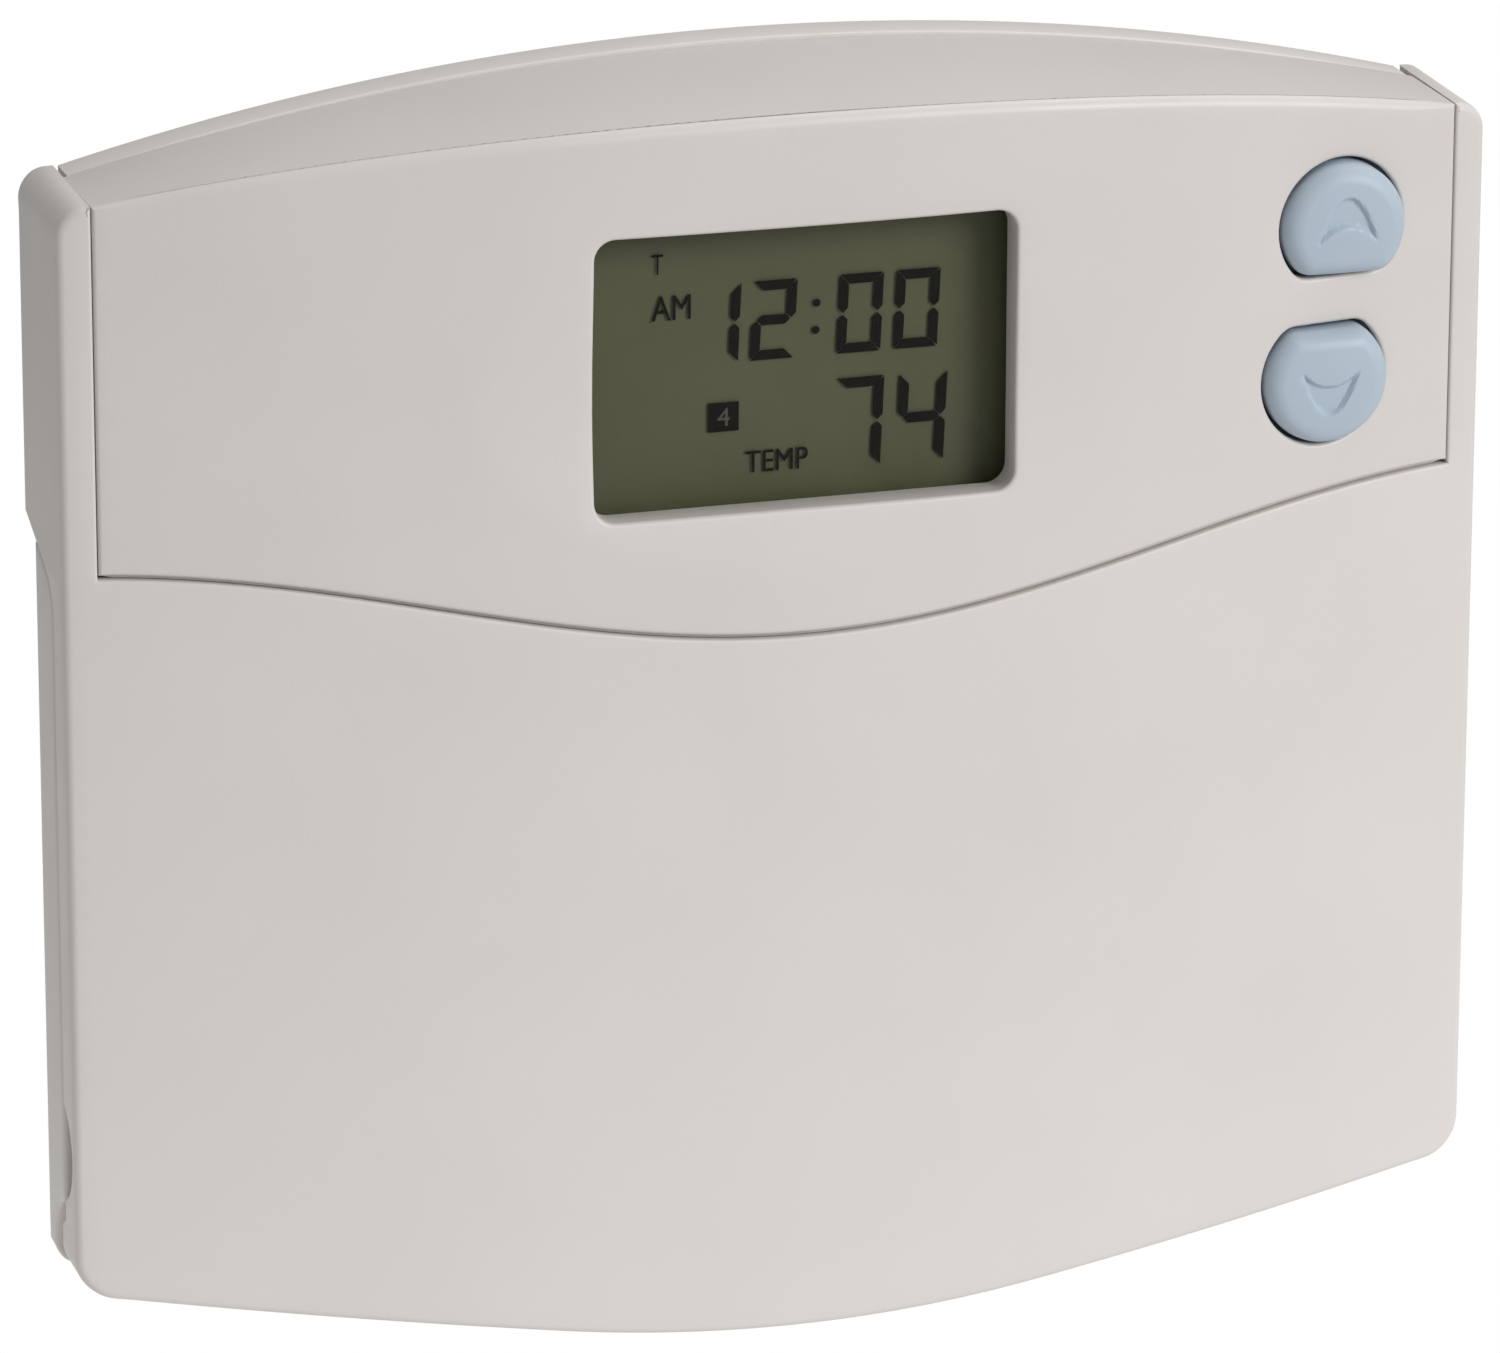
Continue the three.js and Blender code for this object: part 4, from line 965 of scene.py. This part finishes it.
def back_shell(name, back_y, drop, lift, shoulder_z, holes, finish, thickness=WALL, **wall):
    """Shell that opens into the room, its top and bottom edges within the front case's."""
    outline = body_outline(
        shoulder_z,
        lambda x: top_back_z(x) - drop,
        lambda x: bottom_z(x) + CASE_INSET + lift,
        radius=0.5,
        **wall,
    )
    shape = {"out": WALLWARDS, "thickness": thickness, "spacing": 3}
    moulding(f"{name}_shell", [outline, *holes], lambda x, z: back_y, finish, [name], **shape)


def rear_case():
    holes = [loop_at(rounded_box(0, 6.5, 47, 16, 1, 1.4), radius=0.3)]  # for the terminals
    wall = {"reach": REAR_CASE_FRONT, "wall": 2.1, "back": 0.25, "thickness": 1.6}
    shoulder_z = BODY_SHOULDER_Z - 0.5
    back_shell("rear_case", REAR_CASE_BACK, 0.05, 0.1, shoulder_z, holes, "panel", **wall)


def wall_plate():
    """Plate with two screw slots and an opening for the wires."""
    outlines = [rounded_box(x, -10, 4.6, 9, 2.3, 0.8) for x in (-41, 41)]
    outlines.append(rounded_box(0, -10, 40, 12, 1.2))
    holes = [loop_at(outline, radius=0.4) for outline in outlines]
    wall = {"reach": PLATE_FRONT, "wall": WALL, "back": 0.5}
    back_shell("wall_plate", 0, 2.6, 0.2, 46, holes, "casing", **wall)


# ---- buttons, keys, sliders


def crescent_depth(across, up):
    """Depth of the arrow let into a button: the space between two arches with shared feet."""
    half, foot, low_arch, high_arch = 2.75, -0.95, 1.3, 4.0
    deepest, softness = 0.48, 0.2
    bend = 1 - (across / half) ** 2
    if bend <= -softness:
        return 0.0
    slope = 2 * across / half**2
    over = (up - foot - low_arch * bend) / math.hypot(1, slope * low_arch)
    under = (foot + high_arch * bend - up) / math.hypot(1, slope * high_arch)
    return deepest * smooth((min(over, under) + softness) / (2 * softness))


def cap_on_flange(name, kind, finish, cap, face, spacing, flange, front, back, pockets=()):
    """A cap that comes through the panel, on a flange that stays behind it."""
    skin = Skin()
    shell(skin, [cap], face, spacing=spacing, solid=True, pockets=pockets)
    edges = loop_at(flange, radius=0.15, reach=back)
    shell(skin, [edges], lambda x, z: front, spacing=2, solid=True)
    skin.place(f"{name}_{kind}", finish, [name], name)


def large_button(name):
    x0, z0, _, way = BUTTONS[name]
    face_y = front_y(x0) - BUTTON_PROUD
    front, back = -19.6, -18

    def face(x, z):
        dome = ((x - x0) ** 2 + (z - z0) ** 2) / (2 * BUTTON_CROWN)
        return face_y + dome + crescent_depth(x - x0, way * (z - z0))

    cap = loop_at(button_outline(name), radius=1.6, reach=front)
    flange = button_outline(name, BUTTON_FLANGE)
    cap_on_flange(name, "cap", "button_blue", cap, face, 0.24, flange, front, back)


def small_key(name):
    x0, z0 = KEYS[name]
    crown = 60
    front, back = -15.7, -14.9

    def face(x, z):
        return PANEL_Y - KEY_PROUD + ((x - x0) ** 2 + (z - z0) ** 2) / (2 * crown)

    cap = rounded_box(x0, z0, KEY_WIDTH, KEY_HEIGHT, KEY_CORNER, 0.7)
    cap = loop_at(cap, radius=0.6, reach=front + 0.1)
    flange = rounded_box(x0, z0, *KEY_FLANGE, 1.5, 1)
    cap_on_flange(name, "cap", "key_grey", cap, face, 0.7, flange, front, back)


def slider_knob(name):
    x0 = SLIDERS[name][1]
    knob_y = PANEL_Y - 2.2
    front = PANEL_Y + WALL + 0.3
    back = front + 0.9
    grip = rounded_box(x0, SLIDER_Z, 4.4, 3, 0.4, 0.5)
    cap = loop_at(grip, radius=0.25, reach=front + 0.2)
    grooves = [rounded_box(x0 + dx, SLIDER_Z, 0.5, 2.2, 0.24, 0.4) for dx in (-1.2, 0, 1.2)]
    pockets = [(loop_at(groove, radius=0.12), 0.5) for groove in grooves]
    plate = rounded_box(x0, SLIDER_Z, 13, 6.8, 0.6)
    look = (name, "knob", "slider_grey")
    cap_on_flange(*look, cap, lambda x, z: knob_y, 0.5, plate, front, back, pockets)


# ---- display

DIGITS = {"0": "abcdef", "1": "bc", "2": "abdeg", "4": "bcfg", "7": "abc"}
DIGIT_LEAN = 0.045
BAR_GAP = 0.09
INK_Y = -22.35
INK_THICKNESS = 0.04
REFLECTOR_Y = -22.1


def segments(digit, width, height, stroke):
    """Outlines of a digit's lit bars, with its lower left corner at the origin."""
    w, h, t, g, m = width, height, stroke, BAR_GAP, height / 2
    upper = [(w, h - g), (w, m + t / 2 + g), (w - t / 2, m + g)]
    upper += [(w - t, m + t / 2 + g), (w - t, h - t - g)]
    across = [(g + t / 2, m), (g + t, m + t / 2), (w - g - t, m + t / 2), (w - g - t / 2, m)]
    across += [(w - g - t, m - t / 2), (g + t, m - t / 2)]
    top = [(g, h), (w - g, h), (w - g - t, h - t), (g + t, h - t)]
    lower = [(x, h - z) for x, z in upper]
    shapes = {"a": top, "b": upper, "c": lower, "g": across}
    shapes["d"] = [(x, h - z) for x, z in top]
    shapes["e"] = [(w - x, z) for x, z in lower]
    shapes["f"] = [(w - x, z) for x, z in upper]
    return [shapes[bar] for bar in DIGITS[digit]]


def ink(skin, outline):
    """A thin flat shape facing the room."""
    front = skin.ring([(x, INK_Y, z) for x, z in outline])
    back = skin.ring([(x, INK_Y + INK_THICKNESS, z) for x, z in outline])
    skin.bridge(front, back)
    skin.faces += [tuple(front), tuple(reversed(back))]


def digits(name, text, x, z, width, height, stroke, pitch):
    skin = Skin()
    for digit, shift in zip(text, pitch):
        for outline in segments(digit, width, height, stroke):
            ink(skin, [(x + shift + u + DIGIT_LEAN * v, z + v) for u, v in outline])
    skin.place(name, "ink")


def words(name, text, x, z, width, height, finish="ink", y=INK_Y):
    """A small word on the display, its lower left corner at x and z."""
    curve = bpy.data.curves.new(name, "FONT")
    curve.body = text
    curve.size = 1
    curve.extrude = 0.01
    curve.resolution_u = 4
    made = add_object(name, curve)
    bpy.context.view_layer.update()
    data = bpy.data.meshes.new_from_object(made)
    bpy.data.objects.remove(made)
    corners = np.array([v.co[:] for v in data.vertices])
    low, high = corners.min(0), corners.max(0)
    size = Matrix.Diagonal((width / (high[0] - low[0]), height / (high[1] - low[1]), 1, 1))
    turn = Matrix.Rotation(math.pi / 2, 4, "X")
    origin = Matrix.Translation((-low[0], -low[1], 0))
    data.transform(Matrix.Scale(MM, 4) @ Matrix.Translation((x, y, z)) @ turn @ size @ origin)
    data.materials.clear()
    place(name, data, finish)


def display():
    back = loop_at(rounded_box(0, WINDOW_Z, 47.2, 34, 0.4, 2), radius=0.2, reach=-19.8)
    look = {"finish": "lcd", "replaced": ["lcd_cell"], "spacing": 3, "solid": True}
    moulding("display_reflector", [back], lambda x, z: REFLECTOR_Y, **look)
    digits("display_time", "1200", -9.65, 34.05, 4.35, 7.7, 0.95, [0, 5.5, 14.0, 19.6])
    digits("display_degrees", "74", 4.0, 22.8, 4.75, 8.8, 1.0, [0, 6.25])
    colon = Skin()
    for x, z in [(2.43, 39.2), (2.34, 36.55)]:
        ink(colon, arc(x, z, 0.38, 0, 350, 0.2))
    colon.place("display_colon", "ink")
    box = Skin()
    ink(box, [(-8.2, 27.35), (-5.2, 27.35), (-5.2, 30.2), (-8.2, 30.2)])
    box.place("display_box", "ink")
    words("display_period", "4", -7.3, 27.9, 1.2, 1.75, "ink_light", INK_Y - 0.02)
    words("display_day", "T", -13.7, 43.15, 1.1, 1.95)
    words("display_morning", "AM", -13.71, 38.63, 3.8, 2.42)
    words("display_label", "TEMP", -4.51, 23.1, 6.12, 2.1)
    lens = loop_at(rounded_box(0, WINDOW_Z, 46, 32, 0.6, 3), radius=0.15, reach=-22.7)
    look = {"finish": "lens", "replaced": ["display_lens"], "spacing": 6, "solid": True}
    moulding("display_window", [lens], lambda x, z: PAD_BACK + 0.3, **look)


# ---- cells and springs


def dry_cell(name):
    z0, side = CELLS[name]
    half = CELL_LENGTH / 2
    radius = CELL_RADIUS
    profile = [(-half, 0), (-half, 4.2), (-half + 0.12, 4.4), (-half + 0.3, 4.5)]
    profile += [(-half + 0.3, radius - 0.7), (-half + 0.36, radius - 0.4)]
    profile += [(-half + 0.7, radius - 0.05), (-half + 1.1, radius)]
    profile += [(x, radius) for x in steps(-half + 3, half - 4, 6)]
    profile += [(half - 2.4, radius), (half - 1.9, radius - 0.12), (half - 1.6, radius - 0.5)]
    profile += [(half - 1.5, radius - 0.9), (half - 1.45, 3.0), (half - 1.3, 2.8)]
    profile += [(half - 0.4, 2.75), (half - 0.1, 2.55), (half, 2.2), (half, 0)]
    data = turned(name, profile, 64)
    data.materials.append(FINISH["cell_jacket"])
    data.materials.append(FINISH["steel"])
    for polygon in data.polygons:
        across = math.hypot(polygon.center.y, polygon.center.z)
        polygon.material_index = 0 if across > (radius - 0.3) * MM else 1
    if side < 0:
        data.transform(Matrix.Rotation(math.pi, 4, "Z"))
    place(f"{name}_cell", data, "cell_jacket", [name], at=(0, CELL_Y, z0))


def spring(name, z0, side, replaced):
    """Conical contact spring at a cell's flat end."""
    plate_x = BAY_HALF_WIDTH - 0.55
    tip_x = CELL_LENGTH / 2 + 0.55
    wire = 0.35
    turns, last, sides = 3.25, 130, 10
    flat = 0.12  # share of the wire that lies flat, at each end
    path = []
    for i in range(last + 1):
        t = i / last
        angle = t * turns * 2 * math.pi
        reach = 4.3 - 2.4 * t
        along = min(1, max(0, (t - flat) / (1 - 2 * flat)))
        x = plate_x - wire + (tip_x - plate_x + wire) * along
        path.append(Vector((side * x, reach * math.cos(angle), reach * math.sin(angle))))
    skin = Skin()
    rings = []
    for i, point in enumerate(path):
        way = (path[min(i + 1, last)] - path[max(i - 1, 0)]).normalized()
        across = way.cross(Vector((1, 0, 0))).normalized()
        over = way.cross(across)
        angles = [2 * math.pi * k / sides for k in range(sides)]
        ring = [point + wire * (math.cos(a) * across + math.sin(a) * over) for a in angles]
        rings.append(skin.ring(ring))
    skin.bridge_all(rings)
    skin.faces += [tuple(rings[0]), tuple(reversed(rings[-1]))]
    skin.points = [(x, y + CELL_Y, z + z0) for x, y, z in skin.points]
    skin.place(f"{name}_coil", "spring_steel", [replaced])


def contact(name, z0, side, dimple, replaced=()):
    """Flat contact plate on the bay's end wall, with a dimple where it meets a button end."""
    face_x = BAY_HALF_WIDTH - 0.8
    back_x = BAY_HALF_WIDTH - 0.3
    dimple_radius = 3
    skin = Skin()
    outline = rounded_box(CELL_Y, z0, 10, 10, 1.2, 0.8)
    back = skin.ring([(side * back_x, y, z) for y, z in outline])
    front = skin.ring([(side * face_x, y, z) for y, z in outline])
    skin.bridge(back, front)
    skin.fill([back], lambda y, z: side * back_x, 2, (1, 2))
    height = face_x - CELL_LENGTH / 2 - 0.3 if dimple else 0.0

    def surface(y, z):
        away = (y - CELL_Y) ** 2 + (z - z0) ** 2
        return side * (face_x - height * smooth(1 - away / dimple_radius**2))

    skin.fill([front], surface, 0.6, (1, 2))
    skin.place(name, "spring_steel", replaced)


# ---- carried-over CAD nodes

BLACK_NODES = ("lcd_frame", "microcontroller", "thermistor", "capacitor", "up_switch", "down_switch")
# Finishes by the starts of the nodes' names. The nodes that aren't listed are steel.
CARRIED = {
    "terminal_green": ("terminal_block",),
    "brass": ("terminal_screw", "contact_header"),
    "rubber": ("lcd_connector",),
    "board": ("circuit_board",),
    "relay_blue": ("heat_relay", "cool_relay", "fan_relay"),
    "black_plastic": BLACK_NODES,
}


def dress_carried_nodes():
    """Gives each CAD node that still shows its material, and softens its hard edges."""
    for name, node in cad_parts.items():
        if node.hide_render:
            continue
        finish = next((f for f, starts in CARRIED.items() if name.startswith(starts)), "steel")
        node.data.materials.clear()
        node.data.materials.append(FINISH[finish])
        soften = node.modifiers.new("edges", "BEVEL")
        soften.width = 0.12 * MM
        soften.segments = 2
        soften.limit_method = "ANGLE"
        soften.angle_limit = math.radians(40)


# ---- stage

FLOOR_Z = -70
FLOOR_HALF_WIDTH = 8  # metres
SKY = 0.45
FLOOR_GLOW = 0.84
FAR_FLOOR_GLOW = 0.34
POOL = (0.05, 0.5)  # metres from the middle between which the floor's glow falls off
WARM_WHITE = (1.0, 0.985, 0.96)
SOFT_BOX_WHITE = (1.0, 0.99, 0.975)
SOFT_BOX_SIZE = 0.9  # metres
SOFT_BOX_DISTANCE = 2.0  # metres
SOFT_BOXES = {"key": ((0.53, -0.74, 0.4), 26.4), "overhead": ((0.42, 0.25, 0.87), 10.5)}


def camera():
    """Looks at the thermostat from the left and above, from about 0.9 m."""
    target = Vector((-4.36, -23.39, 3.23)) * MM
    place_at = Vector((-255.2, -854.4, 287.1)) * MM
    data = bpy.data.cameras.new("camera")
    data.lens = 231.3
    data.sensor_width = 36
    data.clip_start = 0.05
    data.clip_end = 50
    made = add_object("camera", data)
    roll = Matrix.Rotation(math.radians(0.13), 3, "Z")
    turn = (target - place_at).to_track_quat("-Z", "Y").to_matrix() @ roll
    made.matrix_world = Matrix.Translation(place_at) @ turn.to_4x4()
    bpy.context.scene.camera = made


def backdrop_shader(tree, out, lit):
    """Shines white at the camera, and lit, in warm white, at everything else."""
    seen = add_node(tree, "ShaderNodeLightPath").outputs["Is Camera Ray"]
    power = add_node(tree, "ShaderNodeMapRange", {"Value": seen, "To Min": lit, "To Max": 1.0})
    colours = {0: seen, 6: (*WARM_WHITE, 1), 7: (1, 1, 1, 1)}
    tint = add_node(tree, "ShaderNodeMix", colours, data_type="RGBA")
    feed(tree, out.inputs["Strength"], power.outputs["Result"])
    feed(tree, out.inputs["Color"], tint.outputs[2])


def pool_of_light(tree):
    """Glow of the floor, which is brightest under the thermostat."""
    where = add_node(tree, "ShaderNodeTexCoord").outputs["Object"]
    away = add_node(tree, "ShaderNodeVectorMath", {0: where}, operation="LENGTH")
    inputs = {"Value": away.outputs["Value"], "From Min": POOL[0], "From Max": POOL[1]}
    inputs.update({"To Min": FLOOR_GLOW, "To Max": FAR_FLOOR_GLOW})
    fall = add_node(tree, "ShaderNodeMapRange", inputs, interpolation_type="SMOOTHSTEP")
    return fall.outputs["Result"]


def soft_light(name, way, power):
    """Round soft box that looks at the thermostat from a direction."""
    light = bpy.data.lights.new(name, "AREA")
    light.shape = "DISK"
    light.size = SOFT_BOX_SIZE
    light.energy = power
    light.color = SOFT_BOX_WHITE
    made = add_object(name, light)
    made.location = Vector(way).normalized() * SOFT_BOX_DISTANCE
    made.rotation_euler = (-made.location).to_track_quat("-Z", "Y").to_euler()


def studio():
    scene = bpy.context.scene
    scene.view_settings.view_transform = "Standard"
    scene.world = bpy.data.worlds.new("studio")
    scene.world.use_nodes = True
    tree = scene.world.node_tree
    backdrop_shader(tree, tree.nodes["Background"], SKY)

    shape = bmesh.new()
    bmesh.ops.create_grid(shape, x_segments=1, y_segments=1, size=FLOOR_HALF_WIDTH)
    data = bpy.data.meshes.new("floor")
    shape.to_mesh(data)
    shape.free()
    floor = add_object("floor", data)
    floor.location.z = FLOOR_Z * MM
    paper = bpy.data.materials.new("paper")
    paper.use_nodes = True
    tree = paper.node_tree
    tree.nodes.remove(tree.nodes["Principled BSDF"])
    glow = add_node(tree, "ShaderNodeEmission")
    backdrop_shader(tree, glow, pool_of_light(tree))
    feed(tree, tree.nodes["Material Output"].inputs["Surface"], glow.outputs[0])
    data.materials.append(paper)

    for name, (way, power) in SOFT_BOXES.items():
        soft_light(name, way, power)


# ---- the whole thermostat

camera()
studio()
door()
for side, word in SIDES.items():
    hinge_stud(side, word)
    flank(side, word)
display_panel()
control_panel()
battery_bay()
for side, word in SIDES.items():
    cell_saddle(side * SADDLE_X, word)
rear_case()
wall_plate()
for name in BUTTONS:
    large_button(name)
for name in KEYS:
    small_key(name)
for name in SLIDERS:
    slider_knob(name)
display()
for name, (z0, side) in CELLS.items():
    level = name.split("_")[1]
    dry_cell(name)
    spring(f"spring_{level}", z0, -side, f"battery_spring_{level}")
    contact(f"spring_plate_{level}", z0, -side, False)
    contact(f"contact_plate_{level}", z0, side, True, [f"battery_contact_{level}"])
dress_carried_nodes()
